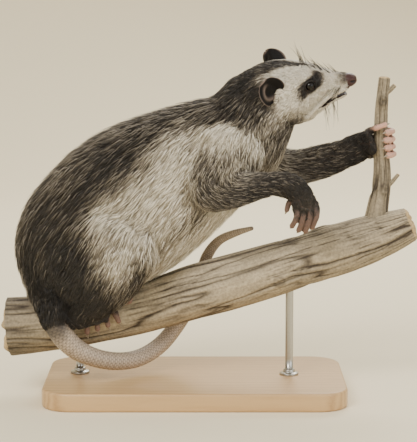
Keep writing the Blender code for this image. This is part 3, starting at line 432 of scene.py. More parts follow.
def make_piece(name, points, faces, material=None, tint=None, uv=None):
    """A smooth mesh object.

    faces is a list of index arrays, uv has a row for each of their corners, and tint one for each point.
    """
    mesh = bpy.data.meshes.new(name)
    faces = [np.asarray(f, np.int32) for f in faces if len(f)]
    corners = np.concatenate([f.ravel() for f in faces])
    sizes = np.concatenate([np.full(len(f), f.shape[1], np.int32) for f in faces])
    mesh.vertices.add(len(points))
    mesh.vertices.foreach_set("co", np.asarray(points, np.float32).ravel())
    mesh.loops.add(len(corners))
    mesh.loops.foreach_set("vertex_index", corners)
    mesh.polygons.add(len(sizes))
    mesh.polygons.foreach_set("loop_start", np.concatenate([[0], np.cumsum(sizes)[:-1]]).astype(np.int32))
    mesh.update(calc_edges=True)
    if uv is not None:
        layer = mesh.uv_layers.new(name="OFBake")
        layer.uv.foreach_set("vector", np.asarray(uv, np.float32).ravel())
    if tint is not None:
        layer = mesh.color_attributes.new("tint", "FLOAT_COLOR", "POINT")
        rgba = np.concatenate([np.asarray(tint, np.float32), np.ones((len(points), 1), np.float32)], axis=1)
        layer.data.foreach_set("color", rgba.ravel())
    mesh.shade_smooth()
    if material:
        mesh.materials.append(material)
    piece = bpy.data.objects.new(name, mesh)
    bpy.context.scene.collection.objects.link(piece)
    return piece


def read_mesh(obj):
    """(points, triangles) of an object with its modifiers applied."""
    bpy.context.view_layer.update()
    mesh = bpy.data.meshes.new_from_object(obj.evaluated_get(bpy.context.evaluated_depsgraph_get()))
    mesh.calc_loop_triangles()
    points = np.empty(len(mesh.vertices) * 3, np.float32)
    mesh.vertices.foreach_get("co", points)
    faces = np.empty(len(mesh.loop_triangles) * 3, np.int32)
    mesh.loop_triangles.foreach_get("vertices", faces)
    bpy.data.meshes.remove(mesh)
    return points.reshape(-1, 3).astype(float), faces.reshape(-1, 3)


def remeshed(name, shell, step, smoothing):
    """(points, triangles) of one closed surface round all that the shell's overlapping tubes fill."""
    points, quads, triangles = shell
    obj = make_piece(name, points, [quads, triangles])
    remesh = obj.modifiers.new("fuse", "REMESH")
    remesh.mode, remesh.voxel_size = "VOXEL", step
    ease = obj.modifiers.new("ease", "SMOOTH")
    ease.factor, ease.iterations = 0.5, smoothing
    made = read_mesh(obj)
    bpy.data.objects.remove(obj, do_unlink=True)
    return made


def thinned(points, faces, keep, ratio):
    """The surface with that ratio of its faces, the others being taken from where keep is below a half."""
    obj = make_piece("thin", points, [faces])
    group = obj.vertex_groups.new(name="thin")
    group.add(np.flatnonzero(keep < 0.5).tolist(), 1.0, "REPLACE")
    thin = obj.modifiers.new("thin", "DECIMATE")
    thin.ratio, thin.vertex_group, thin.vertex_group_factor = ratio, "thin", 10.0
    made = read_mesh(obj)
    bpy.data.objects.remove(obj, do_unlink=True)
    return made


def point_normals(points, faces):
    """Area-weighted normal at each point."""
    corners = points[faces]
    flat = np.cross(corners[:, 1] - corners[:, 0], corners[:, 2] - corners[:, 0])
    total = np.zeros_like(points)
    for k in range(3):
        for axis in range(3):
            total[:, axis] += np.bincount(faces[:, k], flat[:, axis], len(points))
    return unit(total)


def head_axes():
    """The head's forward, left and up directions.

    It is pitched up, rolled so that its crown leans to its right, and turned to its right.
    """
    p, r, w = (math.radians(angle) for angle in (HEAD_PITCH, HEAD_ROLL, HEAD_YAW))
    turn = np.array([(math.cos(w), -math.sin(w), 0), (math.sin(w), math.cos(w), 0), (0, 0, 1)])
    forward = np.array([math.cos(p), 0, math.sin(p)])
    up, left = np.array([-math.sin(p), 0, math.cos(p)]), np.array([0, 1.0, 0])
    c, s = math.cos(r), math.sin(r)
    return np.array([forward, left * c + up * s, up * c - left * s]) @ turn


def from_head(points):
    """Points in millimetres of the head's own frame, in millimetres of the model's."""
    return np.asarray(points, float) @ head_axes() + np.array(HEAD_AT)


def to_head(points):
    """Points of the model in metres, in millimetres of the head's own frame."""
    return (np.asarray(points, float) / MM - np.array(HEAD_AT)) @ head_axes().T


def head_stations(stations):
    """Stations of the head's own frame, in the model's."""
    table = np.array(stations, float)
    return np.column_stack([from_head(table[:, :3]), table[:, 3:]])


def mirrored(stations, shift):
    """Stations on the other side of the body, moved by shift."""
    return [(x + shift[0], shift[1] - y, z + shift[2], *radii) for x, y, z, *radii in stations]


def digit(line, radius, tip_radius):
    """A finger or toe along a line in millimetres, thicker at its knuckle and at the pad of its tip."""
    n = len(line)
    radii = np.linspace(radius, tip_radius, n) * (1 + 0.09 * np.cos(np.linspace(0, 2 * TAU, n)))
    return Limb([(*p, r, r) for p, r in zip(line, radii)], "digit", rows=16, hint=(0.31, 0.9, 0.3))


def palm(forearm, stations):
    """The palm or sole that runs on from the end of a leg."""
    wrist = forearm.centre[-4] / MM
    return Limb([(*wrist, forearm.across[-4] / MM, forearm.tall[-4] / MM), *stations], "palm", rows=20)


def share_of(limb, value, axis):
    """The share of the limb's length where its middle line has that x or z, in millimetres."""
    return np.interp(value, limb.centre[:, axis] / MM, np.linspace(0, 1, len(limb.centre)))


def around(limb, t, turn, lift):
    """Points in millimetres that keep lift from a limb, at shares t and angles in degrees."""
    return limb.at(np.asarray(t, float), np.radians(np.asarray(turn, float)), lift * MM) / MM


def hanging_hand(forearm):
    """The right forefoot's palm and digits, hanging from the wrist."""
    made = {"palm": palm(forearm, [(102, -63, 210, 7, 10.5), (106, -63, 198, 6, 13), (107, -62, 192, 5, 12)])}
    for i, rise in enumerate((5, 1, 0, 4)):
        root, tip = 97 + 6.4 * i, 94 + 6.5 * i
        line = [(root, -62, 200), (root + 1.5, -65, 190), ((root + tip) / 2 + 1, -64, 181 + rise / 2),
                (tip, -60, 173 + rise)]
        made[f"digit_{i}"] = digit(line, FINGER_RADIUS, FINGER_RADIUS - 0.7)
    thumb = [(97, -60, 207), (91, -58, 200), (89, -57, 193)]
    made["digit_4"] = digit(thumb, FINGER_RADIUS - 0.2, FINGER_RADIUS - 0.9)
    return made


def gripping_hand(stem, forearm):
    """The left forefoot: four fingers wrap round the stem, and the thumb lies across it."""
    made = {"palm": palm(forearm, [(170, 14, 250, 7.5, 12), (172.5, 7, 252, 6, 13.5), (175, 0, 253, 4, 12)])}
    top_finger, spacing, thumb_height = 264, 7.9, 272
    for i in range(4):
        t = share_of(stem, top_finger - spacing * i, 2)
        # The second and third fingers reach the furthest round
        turn = np.linspace(95 - 12 * i, -166 + 7 * abs(i - 1.3), 9)
        line = around(stem, np.full(9, t), turn, FINGER_RADIUS + DIGIT_GAP)
        made[f"digit_{i}"] = digit(line, FINGER_RADIUS + 0.3, FINGER_RADIUS - 0.3)
    t = share_of(stem, thumb_height, 2)
    line = around(stem, np.linspace(t - 0.04, t, 5), np.linspace(112, 196, 5), FINGER_RADIUS + DIGIT_GAP)
    made["digit_4"] = digit(line, FINGER_RADIUS, FINGER_RADIUS - 0.6)
    return made


def gripping_foot(branch, side, shift):
    """A hind foot on the flank of the branch: four toes hook over it, and the great toe lies along it."""
    def place(x, angle, lift):
        """Points on the branch at those x, with the angles mirrored for the far side."""
        turn = np.where(side > 0, angle, 180 - np.asarray(angle, float))
        return around(branch, [share_of(branch, v + shift, 0) for v in np.atleast_1d(x)], turn, lift)

    ankle, ball_of_foot = place([-115], 14, 11)[0], place([-91], 18, 8)[0]
    mid = (ankle + ball_of_foot) / 2 + (0, side * 0.5, 0)
    made = {"palm": Limb([(*ankle, 9, 9), (*mid, 8, 9.5), (*ball_of_foot, 7, 10.5)], "palm", rows=20)}
    for i in range(4):
        xs = np.linspace(-104 + 8.2 * i, -108 + 10.4 * i, 6)
        line = place(xs, np.linspace(26 - 1.5 * i, -15 + 3.5 * i, 6), TOE_RADIUS + DIGIT_GAP)
        made[f"digit_{i}"] = digit(line, TOE_RADIUS + 0.4, TOE_RADIUS - 1)
    line = place(np.linspace(-86, -62, 4), np.array([27, 30, 31, 30]), np.array([6.3, 6.3, 5.9, 5.5]))
    made["digit_4"] = digit(line, TOE_RADIUS + 1, TOE_RADIUS + 0.3)
    return made


def body_limbs():
    """Every form of the animal's flesh but its tail, by name."""
    branch, stem = Limb(BRANCH), Limb(STEM)
    head_side = head_axes()[1]
    limbs = {
        "trunk": Limb(TRUNK, "trunk", 80),
        "head": Limb(head_stations(HEAD), "head", 60, head_side, 2.25),
        "jaw": Limb(head_stations(JAW), "jaw", 40, head_side, 2.4),
        "arm_right": Limb(NEAR_ARM, "upper_foreleg", 30), "arm_left": Limb(FAR_ARM, "upper_foreleg", 30),
        "forearm_right": Limb(NEAR_FOREARM, "lower_foreleg", 50),
        "forearm_left": Limb(FAR_FOREARM, "lower_foreleg", 50),
        "thigh_right": Limb(THIGH, "thigh", 40),
        "thigh_left": Limb(mirrored(THIGH, FAR_LEG_SHIFT), "thigh", 40),
        "shank_right": Limb(SHANK, "shank", 40),
        "shank_left": Limb(mirrored(SHANK, FAR_LEG_SHIFT), "shank", 40),
        "tail_root": Limb(TAIL_ROOT, "shank", 30),
    }
    for sign, side in SIDES:
        cheek = [(x, y * sign, z, wide, tall) for x, y, z, wide, tall in CHEEK]
        limbs[f"cheek_{side}"] = Limb(head_stations(cheek), "jaw", 24, head_side)
    feet = {
        "hand_right": hanging_hand(limbs["forearm_right"]),
        "hand_left": gripping_hand(stem, limbs["forearm_left"]),
        "foot_right": gripping_foot(branch, -1, 0),
        "foot_left": gripping_foot(branch, 1, FAR_LEG_SHIFT[0]),
    }
    for foot, parts in feet.items():
        for part, limb in parts.items():
            limbs[f"{foot}_{part}"] = limb
    return limbs


def lid_lines():
    """Limbs along the upper and lower lid of each eye, in millimetres round the eyeball."""
    lids = []
    radius = settings("body").eye_radius / MM
    for sign, _ in SIDES:
        eye = np.array(EYE_AT) * (1, sign, 1)
        out = unit(np.array(EYE_WAY) * (1, sign, 1))
        ahead = unit(np.cross(np.cross(out, (1, 0, 0.1)), out))
        rise = np.cross(out, ahead)
        rise = rise * np.sign(rise[2])
        # Of the upper lid, then the lower: degrees round the eye at its two ends, and its radius
        for low, high, thick in ((-12, 192, 1.6), (188, 352, 1.3)):
            a = np.radians(np.linspace(low, high, 15))[:, None]
            line = eye + out * 2.5 + (ahead * np.cos(a) * 1.2 + rise * np.sin(a) * 0.9) * (radius + 0.3)
            lids.append(Limb([(*p, thick, thick) for p in from_head(line)], rows=30, hint=(0.1, 0.3, 1)))
    return lids


# Lines of the left lips, in the head's own frame
UPPER_LIP = [(31, 21.0, -20.5), (42, 17.2, -14.5), (54, 12.6, -8.6), (66, 9.2, -5.2), (77, 5.5, -3.4)]
LOWER_LIP = [(38, 12.8, -23.2), (50, 10.4, -17.3), (62, 8.1, -12.6), (72, 4.6, -11.4)]


def lip_lines():
    """Limbs along the upper lips and the lower lips."""
    lips = []
    upper_radius, lower_radius = 1.9, 1.4
    for line, radius in ((UPPER_LIP, upper_radius), (LOWER_LIP, lower_radius)):
        for sign in (-1, 1):
            centre = from_head([(x, y * sign, z) for x, y, z in line])
            lips.append(Limb([(*p, radius, radius) for p in centre], rows=30, hint=(0, 1, 0.2)))
    return lips


# Swellings and hollows of the face, in the head's own frame: middle, radii, and how far the skin moves out
FACE_FORMS = [
    ((37, 15, 19), (10, 7, 5), 1.7), ((42, 20, 10), (9, 7, 8), -2.0), ((20, 25, -8), (15, 9, 13), 2.2),
    ((66, 9, -3), (9, 5, 4), 1.3), ((55, 14, 3), (9, 5, 7), -1.4), ((54, 0, 15), (18, 5, 6), 0.7),
    ((28, 0, 34), (22, 4, 8), -1.0), ((2, 28, 4), (9, 8, 9), -1.6),
]


def field_at(points, limbs):
    """(weights, shares, angles, distances) of the points for each limb.

    A weight is exp(-distance/fall), with all of a point's weights made to add up to 1.
    """
    found = [limb.locate(points) for limb in limbs.values()]
    t, angle, distance = (np.stack([f[k] for f in found], 1) for k in range(3))
    falls = np.array([0.0015 if limb.kind == "digit" else 0.004 for limb in limbs.values()])
    weight = np.exp(-np.maximum(distance, 0) / falls)
    return weight / np.maximum(weight.sum(1, keepdims=True), 1e-12), t, angle, distance


def coat_flow(limb, t, angle):
    """The way that the coat lies on a limb: along it, backwards on head and trunk, and down the flanks."""
    along = limb.row(limb.along, t)
    down = np.array([0, 0, -1.0])
    slant = np.abs(np.cos(angle))[:, None]
    if limb.kind == "trunk":
        rump = (1 - step_between(0.05, 0.3, t))[:, None]
        return -along * (1 - 0.35 * rump) + down * (0.5 * slant + 0.4 * rump)
    if limb.kind == "thigh":
        return -along * 0.5 + down * 0.95
    if limb.kind in ("head", "jaw"):
        return -along + down * 0.3 * slant
    return along + down * 0.12


# Lower edge of the dark saddle on the trunk: share of the trunk's length, and sine of the angle round it
SADDLE_EDGE = [
    (0.1, -0.75), (0.24, -0.35), (0.3, 0.0), (0.36, 0.3), (0.47, 0.36), (0.58, 0.52), (0.68, 0.74),
    (0.78, 0.72), (0.86, 0.52), (0.93, 0.3), (1.0, 0.2),
]
# Markings of the trunk and upper legs as seen from the side, with painted light among them: a painted
# highlight on the knee, and painted shade in the fold in front of it, along the belly's lower edge and on the
# throat. Columns: x and z of the middle, half lengths, slope in degrees, tone, and strength
SIDE_MARKS_AND_PAINTED_LIGHT = [
    (-12, 226, 30, 15, 62, 0.93, 0.9), (-52, 175, 34, 20, 60, 0.74, 0.7), (-10, 168, 46, 15, 48, 0.86, 0.8),
    (34, 268, 21, 13, 20, 0.97, 0.95), (60, 262, 26, 9, -48, 0.85, 0.75), (12, 214, 34, 12, 80, 0.4, 0.75),
    # First: painted shade along the belly's lower edge. Last: painted shade on the throat
    (2, 190, 52, 7, 42, 0.42, 0.7), (44, 232, 14, 11, 0, 0.72, 0.5), (82, 262, 24, 18, 60, 0.24, 0.92),
    # Second: a painted highlight on the knee. Last: painted shade in the fold in front of the knee
    (62, 290, 18, 13, 10, 0.17, 0.8), (-66, 146, 13, 17, -15, 0.95, 0.95), (-58, 120, 10, 12, 0, 0.45, 0.85),
    (-112, 104, 48, 29, 0, 0.03, 1.0),
]


def tone_at(points, limbs, weight, t, angle):
    """How light the coat is at each point, from 0, black, to 1, white, and the share of pale guard hairs."""
    x, z = points[:, 0] / MM, points[:, 2] / MM
    tone, guard = np.zeros(len(points)), np.zeros(len(points))
    patch = noise(points, 28 * MM, 3) * 0.06 + noise(points, 11 * MM, 4) * 0.05
    for k, limb in enumerate(limbs.values()):
        share, turn = t[:, k], angle[:, k]
        up = np.sin(turn) + 0.1 * noise(points, 22 * MM, 14)
        if limb.kind == "trunk":
            edge = np.interp(share, *zip(*SADDLE_EDGE))
            saddle = step_between(-0.16, 0.2, up - edge)
            # ridge lightens the top of the back: a painted highlight
            belly, ridge = step_between(0, -0.7, up), step_between(0.72, 1.0, up)
            value = blend(0.72 + 0.1 * belly, 0.1 + 0.15 * ridge, saddle)
            value = side_marks_and_painted_light(value, x, z, 1 - 0.8 * step_between(0.6, 0.95, up))
            pale = (0.07 + 0.13 * step_between(0.12, 0.4, share)) * (1 - 0.3 * saddle)
        elif limb.kind == "thigh":
            value = 0.08 + 0.5 * step_between(-104, -74, x + 0.35 * (z - 140))
            value, pale = side_marks_and_painted_light(value, x, z, 1), 0.07 + 0.1 * step_between(-110, -70, x)
        elif limb.kind == "upper_foreleg":
            value, pale = side_marks_and_painted_light(0.46 - 0.18 * share, x, z, 1 - 0.7 * share), 0.14
        elif limb.kind == "lower_foreleg":
            # The forearm is made 0.1 lighter on its top: a painted highlight
            value, pale = 0.25 + 0.1 * step_between(0.1, 0.9, up) - 0.12 * share, 0.08
        elif limb.kind == "shank":
            value, pale = 0.1, 0.04
        elif limb.kind in ("head", "jaw"):
            value, pale = face_tone(to_head(points)), 0.07
        else:
            value, pale = 0.07, 0.0
        tone += weight[:, k] * value
        guard += weight[:, k] * pale
    return np.clip(tone + patch, 0.02, 1.0), guard


def side_marks_and_painted_light(value, x, z, share):
    """value with the side's markings and painted light laid over it in turn, each an oval that fades as
    exp(-r**4).
    """
    for middle_x, middle_z, long, wide, slope, tone, strength in SIDE_MARKS_AND_PAINTED_LIGHT:
        c, s = math.cos(math.radians(slope)), math.sin(math.radians(slope))
        along, across = (x - middle_x) * c + (z - middle_z) * s, (z - middle_z) * c - (x - middle_x) * s
        mask = strength * share * np.exp(-((along / long) ** 2 + (across / wide) ** 2) ** 2)
        value = blend(value, tone, mask)
    return value


def face_tone(p):
    """The face's markings in the head's own frame: white, with dark crown, eye patches and ear surrounds, and
    painted shade on the lower cheeks, under the jaw and on the top of the muzzle.
    """
    x, y, z = p[:, 0], np.abs(p[:, 1]), p[:, 2]
    cheek_shade_streaks = noise(np.stack([x * 0.25, p[:, 1], z], 1), 2.6, 17)
    # Greyer in streaks on the lower rear of the face: painted shade
    value = 0.98 - 0.24 * step_between(42, 14, x) * step_between(8, -12, z) * (1 + 0.7 * cheek_shade_streaks)
    width = 13 * step_between(58, -5, x) + 5 * step_between(0, -20, x)
    stripe = step_between(1.3, 0.8, y / np.maximum(width, 0.5))
    stripe = stripe * step_between(58, 50, x) * step_between(8, 15, z)
    eye = np.exp(-((x - 43.5) / 12.5) ** 6 - ((z - 11.8 - 0.28 * (x - 43.5)) / 7.4) ** 6) * (y > 6)
    ear = np.exp(-((x + 3) / 13) ** 4 - ((y - 27) / 13) ** 4 - ((z - 12) / 18) ** 4)
    nape = step_between(4, -14, x)
    # Darker under the jaw: painted shade
    throat_shade = step_between(-8, -21, z) * step_between(40, 18, x)
    rear = step_between(14, -8, x) * step_between(6, -10, z)
    # Darker on the top of the muzzle behind the nose: painted shade
    muzzle_shade = step_between(64, 77, x) * step_between(-1, 6, z)
    # Each marking or painted shade, and the share of the white that it takes away
    marks = ((stripe, 0.86), (eye, 0.97), (ear, 0.8), (nape, 0.6), (throat_shade, 0.62), (rear, 0.5), (muzzle_shade, 0.6))
    for mark, dark in marks:
        value = value * (1 - mark * dark)
    return value


def coat_colour(tone):
    """Fur colours by tone, read off a ramp of five colours."""
    coat = settings("coat")
    stops = np.array([coat.black, coat.dark, coat.grey, coat.pale, coat.white])
    return np.stack([np.interp(tone, [0, 0.27, 0.52, 0.76, 1], stops[:, c]) for c in range(3)], -1)


def chart_of(index, count):
    """(u, v, width, height) of one limb's place on the unwrap: the trunk has the left half, others a grid."""
    if index == 0:
        return 0.01, 0.01, 0.46, 0.98
    columns = 6
    rows = math.ceil((count - 1) / columns)
    column, row = (index - 1) % columns, (index - 1) // columns
    return 0.49 + 0.5 * column / columns, 0.01 + 0.98 * row / rows, 0.46 / columns, 0.92 / rows


class Skin:
    """The skin as one closed surface, with what the coat needs to know at each of its points."""

    def __init__(self):
        body = settings("body")
        self.limbs = body_limbs()
        self.kinds = np.array([limb.kind for limb in self.limbs.values()])
        self.names = np.array(list(self.limbs))
        self.eyes = [from_head(np.array(EYE_AT) * (1, sign, 1)) * MM for sign, _ in SIDES]
        shells = [limb_shell(limb, 20 if limb.kind == "digit" else 48, (0.8, 0.1 if name == "head" else 0.8))
                  for name, limb in self.limbs.items()]
        shells += [limb_shell(limb, 12) for limb in lid_lines() + lip_lines()]
        points, faces = remeshed("skin", joined(shells), body.skin_step, 4)
        points = self.shape(points, faces)
        furry = self.of_kind("trunk", "thigh", "upper_foreleg")
        keep = 1 - field_at(points, self.limbs)[0][:, furry].sum(1)
        points, faces = thinned(points, faces, keep, min(1.0, body.skin_faces / len(faces)))
        self.points, self.faces, self.normals = points, faces, point_normals(points, faces)
        self.describe()

    def of_kind(self, *kinds):
        """Indices of the limbs of those kinds."""
        return np.flatnonzero(np.isin(self.kinds, kinds))

    def shape(self, points, faces):
        """The points moved along their normals to fill the angles between limbs and to shape face and digits.

        The fill is spread*log(sum of exp(-distance/spread)) over the limbs, less a little, and up to 6 mm.
        """
        normals = point_normals(points, faces)
        big = {n: limb for n, limb in self.limbs.items() if limb.kind not in ("digit", "jaw")}
        distance = field_at(points, big)[3]
        spread = 5.5 * MM
        fill = spread * np.log(np.exp(-np.clip(distance, -spread, None) / spread).sum(1))
        fill = np.clip(fill - 0.2 * MM, 0, 6 * MM)
        local = to_head(points)
        near_mouth = bump(local, (55, 0, -14), (30, 22, 9)) > 0.2
        move = np.where(near_mouth, 0, fill)
        for sign, _ in SIDES:
            for middle, radii, amount in FACE_FORMS:
                move = move + bump(local, np.array(middle) * (1, sign, 1), radii) * amount * MM
        digits = {n: limb for n, limb in self.limbs.items() if limb.kind == "digit"}
        nearest, second = np.sort(field_at(points, digits)[3], axis=1)[:, :2].T
        groove = step_between(1.6 * MM, 0, second - nearest) * step_between(3 * MM, 0.5 * MM, nearest)
        return points + normals * (move - groove * 0.9 * MM)[:, None]

    def describe(self):
        """Sets the lie, tone, length, width and count of the coat at each point of the skin."""
        self.weight, self.t, self.angle, distance = field_at(self.points, self.limbs)
        self.digit_distance = distance[:, self.of_kind("digit")]
        self.best = self.weight.argmax(1)
        limbs = self.limbs.values()
        flow = sum(self.weight[:, k:k + 1] * unit(coat_flow(limb, self.t[:, k], self.angle[:, k]))
                   for k, limb in enumerate(limbs))
        flow += 0.16 * np.stack([noise(self.points, 24 * MM, s) for s in (21, 22, 23)], 1)
        self.flow = unit(flow - (flow * self.normals).sum(1, keepdims=True) * self.normals)
        self.tone, self.guard = tone_at(self.points, self.limbs, self.weight, self.t, self.angle)
        table = np.array([COAT[limb.kind] for limb in limbs])
        self.depth, self.length, self.width, self.count = (self.weight @ table).T
        local = to_head(self.points)
        self.on_head = self.weight[:, self.of_kind("head", "jaw")].sum(1)
        short = 1 - 0.68 * step_between(14, 66, local[:, 0]) * self.on_head
        self.length, self.width = self.length * short, self.width * (0.35 + 0.65 * short)
        self.depth = self.depth * (0.4 + 0.6 * short)
        by_ear = bump(np.abs(local) * (1, 1, 0) + local * (0, 0, 1), (9, 27, 13), (13, 9, 14)) * self.on_head
        self.length, self.depth = self.length * (1 - 0.7 * by_ear), self.depth * (1 - 0.75 * by_ear)
        self.mouth = self.mouth_parts(local)
        self.count = self.count * (1 - self.bare_parts(local))

    def mouth_parts(self, local):
        """Whether each point lies between the lips and faces into the mouth."""
        x, y, z = local.T
        facing = (self.normals @ head_axes().T)[:, 2]
        half, height = (np.interp(x, [p[0] for p in UPPER_LIP], [p[k] for p in UPPER_LIP]) for k in (1, 2))
        inside = (self.on_head > 0.5) & (x > 44) & (x < 79) & (np.abs(y) < half - 1.2) & (z < height - 0.3)
        return inside & np.where(self.kinds[self.best] == "head", facing < -0.3, facing > 0.15)

    def bare_parts(self, local):
        """1 where no fur grows: mouth, lids, nose, and the ends of fingers and toes."""
        bare = self.mouth | (local[:, 0] > 78.5) & (self.on_head > 0.5)
        for eye in self.eyes:
            bare |= np.linalg.norm(self.points - eye, axis=1) < 6.6 * MM
        cover = 0.2 + 0.8 * step_between(0.2, 0.65, self.best_share())
        return np.where(bare, 1.0, np.where(self.kinds[self.best] == "digit", cover, 0))

    def best_share(self):
        """Each point's share of the length of the limb that it belongs to most."""
        return self.t[np.arange(len(self.points)), self.best]

    def tint(self):
        """Skin colours: the coat's, darkened as painted shade, where that covers it; pink on digits; dark on
        lids and nose.
        """
        body = settings("body")
        # Under the coat the skin is darker than the fur: painted shade beneath it
        colour = coat_colour(np.clip(self.tone * 0.85 + 0.02, 0, 1)) * 0.8
        kinds, names, share = self.kinds[self.best], self.names[self.best], self.best_share()
        grain = noise(self.points, 3 * MM, 8)[:, None] * 0.06 + 1
        # How pink the digits of each foot are: pale on the left hand, dusky on the others
        paleness_of = {"hand_left": 0.95, "hand_right": 0.16, "foot": 0.25}
        feet = [np.char.startswith(names, foot) for foot in paleness_of]
        paleness = np.select(feet, list(paleness_of.values()), 0.0)
        nearest, second = np.sort(self.digit_distance, axis=1)[:, :2].T
        # Less pink in the clefts between digits: painted shade
        groove = step_between(1.4 * MM, 0.2 * MM, second - nearest) * (kinds == "digit")
        pink = step_between(0.1, 0.5, share) * paleness + 0.08 * step_between(0.6, 1, share)
        pink = (kinds == "digit") * pink
        pink = (np.clip(pink, 0, 1) * (1 - 0.75 * groove))[:, None]
        dark = np.isin(kinds, ("digit", "palm"))[:, None] * (1 - pink)
        colour = blend(blend(colour, body.dark_skin, dark), body.bare_skin, pink)
        for eye in self.eyes:
            lid = step_between(8.2 * MM, 6.6 * MM, np.linalg.norm(self.points - eye, axis=1))[:, None]
            colour = blend(colour, np.array(body.dark_skin) * 0.25, lid)
        local = to_head(self.points)
        snout = step_between(73, 77.5, local[:, 0]) * step_between(-9, -6, local[:, 2]) * self.on_head
        colour = blend(colour, body.nose, snout[:, None])
        # Near black where the skin faces into the mouth: painted shade
        return blend(colour, body.mouth, self.mouth[:, None] * 1.0) * grain

    def unwrap(self):
        """OFBake places for the faces' corners: angle and share on the limb that each face is nearest."""
        weight, _, angle, _ = field_at(self.points[self.faces].mean(1), self.limbs)
        best = weight.argmax(1)
        uv = np.zeros((len(self.faces), 3, 2))
        for k, limb in enumerate(self.limbs.values()):
            chosen = np.flatnonzero(best == k)
            if len(chosen):
                corner_t, corner_angle, _ = limb.locate(self.points[self.faces[chosen]].reshape(-1, 3))
                own = np.repeat(angle[chosen, k], 3)
                turn = own + (corner_angle - own + math.pi) % TAU - math.pi
                u, v, width, height = chart_of(k, len(self.limbs))
                places = np.stack([u + width * np.clip(turn / TAU + 0.5, 0, 1), v + height * corner_t], -1)
                uv[chosen] = places.reshape(-1, 3, 2)
        return uv

    def root_uv(self, points):
        """OFBake place of each tuft's root."""
        weight, t, angle, _ = field_at(points, self.limbs)
        best = weight.argmax(1)
        rows = np.arange(len(points))
        charts = np.array([chart_of(k, len(self.limbs)) for k in range(len(self.limbs))])[best]
        across = angle[rows, best] / TAU + 0.5
        return charts[:, :2] + charts[:, 2:] * np.stack([across, t[rows, best]], 1)


class Surface:
    """Finds the nearest place on the skin, and reads values between its points."""

    def __init__(self, skin):
        self.skin = skin
        self.tree = BVHTree.FromPolygons(skin.points.tolist(), skin.faces.tolist(), all_triangles=True)

    def nearest(self, points):
        """(place, face, corner shares) on the skin that is nearest each point."""
        found = [self.tree.find_nearest(p) for p in points.tolist()]
        place = np.array([f[0] for f in found])
        face = np.array([f[2] for f in found])
        return place, face, self.shares(place, face)

    def shares(self, place, face):
        """Corner shares of places on faces: 1-v-w, v and w, where place = a + v*(b-a) + w*(c-a)."""
        a, b, c = self.skin.points[self.skin.faces[face]].transpose(1, 0, 2)
        e, f, g = b - a, c - a, place - a
        ee, ef, ff = (e * e).sum(1), (e * f).sum(1), (f * f).sum(1)
        ge, gf = (g * e).sum(1), (g * f).sum(1)
        under = np.maximum(ee * ff - ef * ef, 1e-24)
        v, w = (ff * ge - ef * gf) / under, (ee * gf - ef * ge) / under
        return np.clip(np.stack([1 - v - w, v, w], 1), 0, 1)

    def value(self, values, face, shares):
        """The sum of each face's corner values times their shares."""
        corners = values[self.skin.faces[face]]
        return (corners * (shares if values.ndim == 1 else shares[..., None])).sum(1)


def scatter(skin, rng, amount):
    """(faces, corner shares) of roots spread over the skin, as many to an area as the count there says."""
    corners = skin.points[skin.faces]
    area = np.linalg.norm(np.cross(corners[:, 1] - corners[:, 0], corners[:, 2] - corners[:, 0]), axis=1) / 2
    # The count is to a square centimetre
    expected = area * skin.count[skin.faces].mean(1) * 1e4 * amount
    total = int(expected.sum())
    edges = np.cumsum(expected)
    face = np.searchsorted(edges, (np.arange(total) + rng.random(total)) * edges[-1] / total)
    u, v = rng.random((2, total))
    root = np.sqrt(u)
    return face, np.stack([1 - root, root * (1 - v), root * v], 1)


def clump_leads(points, spacing, rng):
    """For each root, the index of the root whose tip it leans to: the nearest of a random few."""
    volume = np.floor(points / spacing).astype(int)
    order = rng.permutation(len(points))
    _, first = np.unique(volume[order], axis=0, return_index=True)
    leads = order[first]
    tree = KDTree(len(leads))
    for k, p in zip(leads.tolist(), points[leads].tolist()):
        tree.insert(p, k)
    tree.balance()
    return np.array([tree.find(p)[1] for p in points.tolist()])


# Width and height of a blade's two rows as shares of its own
BLADE_TAPER = np.array([0.8, 0.95])
BLADE_QUADS = np.array([(j, 3 + j, 3 + (j + 1) % 3, (j + 1) % 3) for j in range(3)])
BLADE_TRIANGLES = np.array([(0, 1, 2), (3, 6, 4), (4, 6, 5), (5, 6, 3)])
# Row of each of a blade's points, and how far across its patch of the unwrap the point lies
BLADE_ROW = np.array([0, 0, 0, 1, 1, 1, 2])
BLADE_SPREAD = np.array([0, 1, 0.5] * 2 + [0.5])
# Width and height of a blade's patch of the unwrap, and how many blades keep a piece under its limit of faces
BLADE_PATCH, BLADES_IN_A_PIECE = 0.003, 19000


def blade_points(rows, normals, headings, width, thick, roll):
    """Points of three-sided, tapered blades: (blades, 2 rows of 3 points and a tip).

    A row's corners are middle - b*w/2, middle + b*w/2 and middle + n*h, with b across the blade and n out of
    it.
    """
    across = unit(np.cross(normals, headings))
    out = unit(np.cross(headings, across))
    c, s = np.cos(roll)[:, None, None], np.sin(roll)[:, None, None]
    b, n = across * c + out * s, out * c - across * s
    body = rows[:, :2]
    half = (width[:, None] * BLADE_TAPER)[..., None] / 2
    high = (thick[:, None] * BLADE_TAPER)[..., None]
    left, right, top = body - b[:, :2] * half, body + b[:, :2] * half, body + n[:, :2] * high
    ring = np.stack([left, right, top], 2).reshape(len(rows), 6, 3)
    return np.concatenate([ring, rows[:, 2:3]], 1)


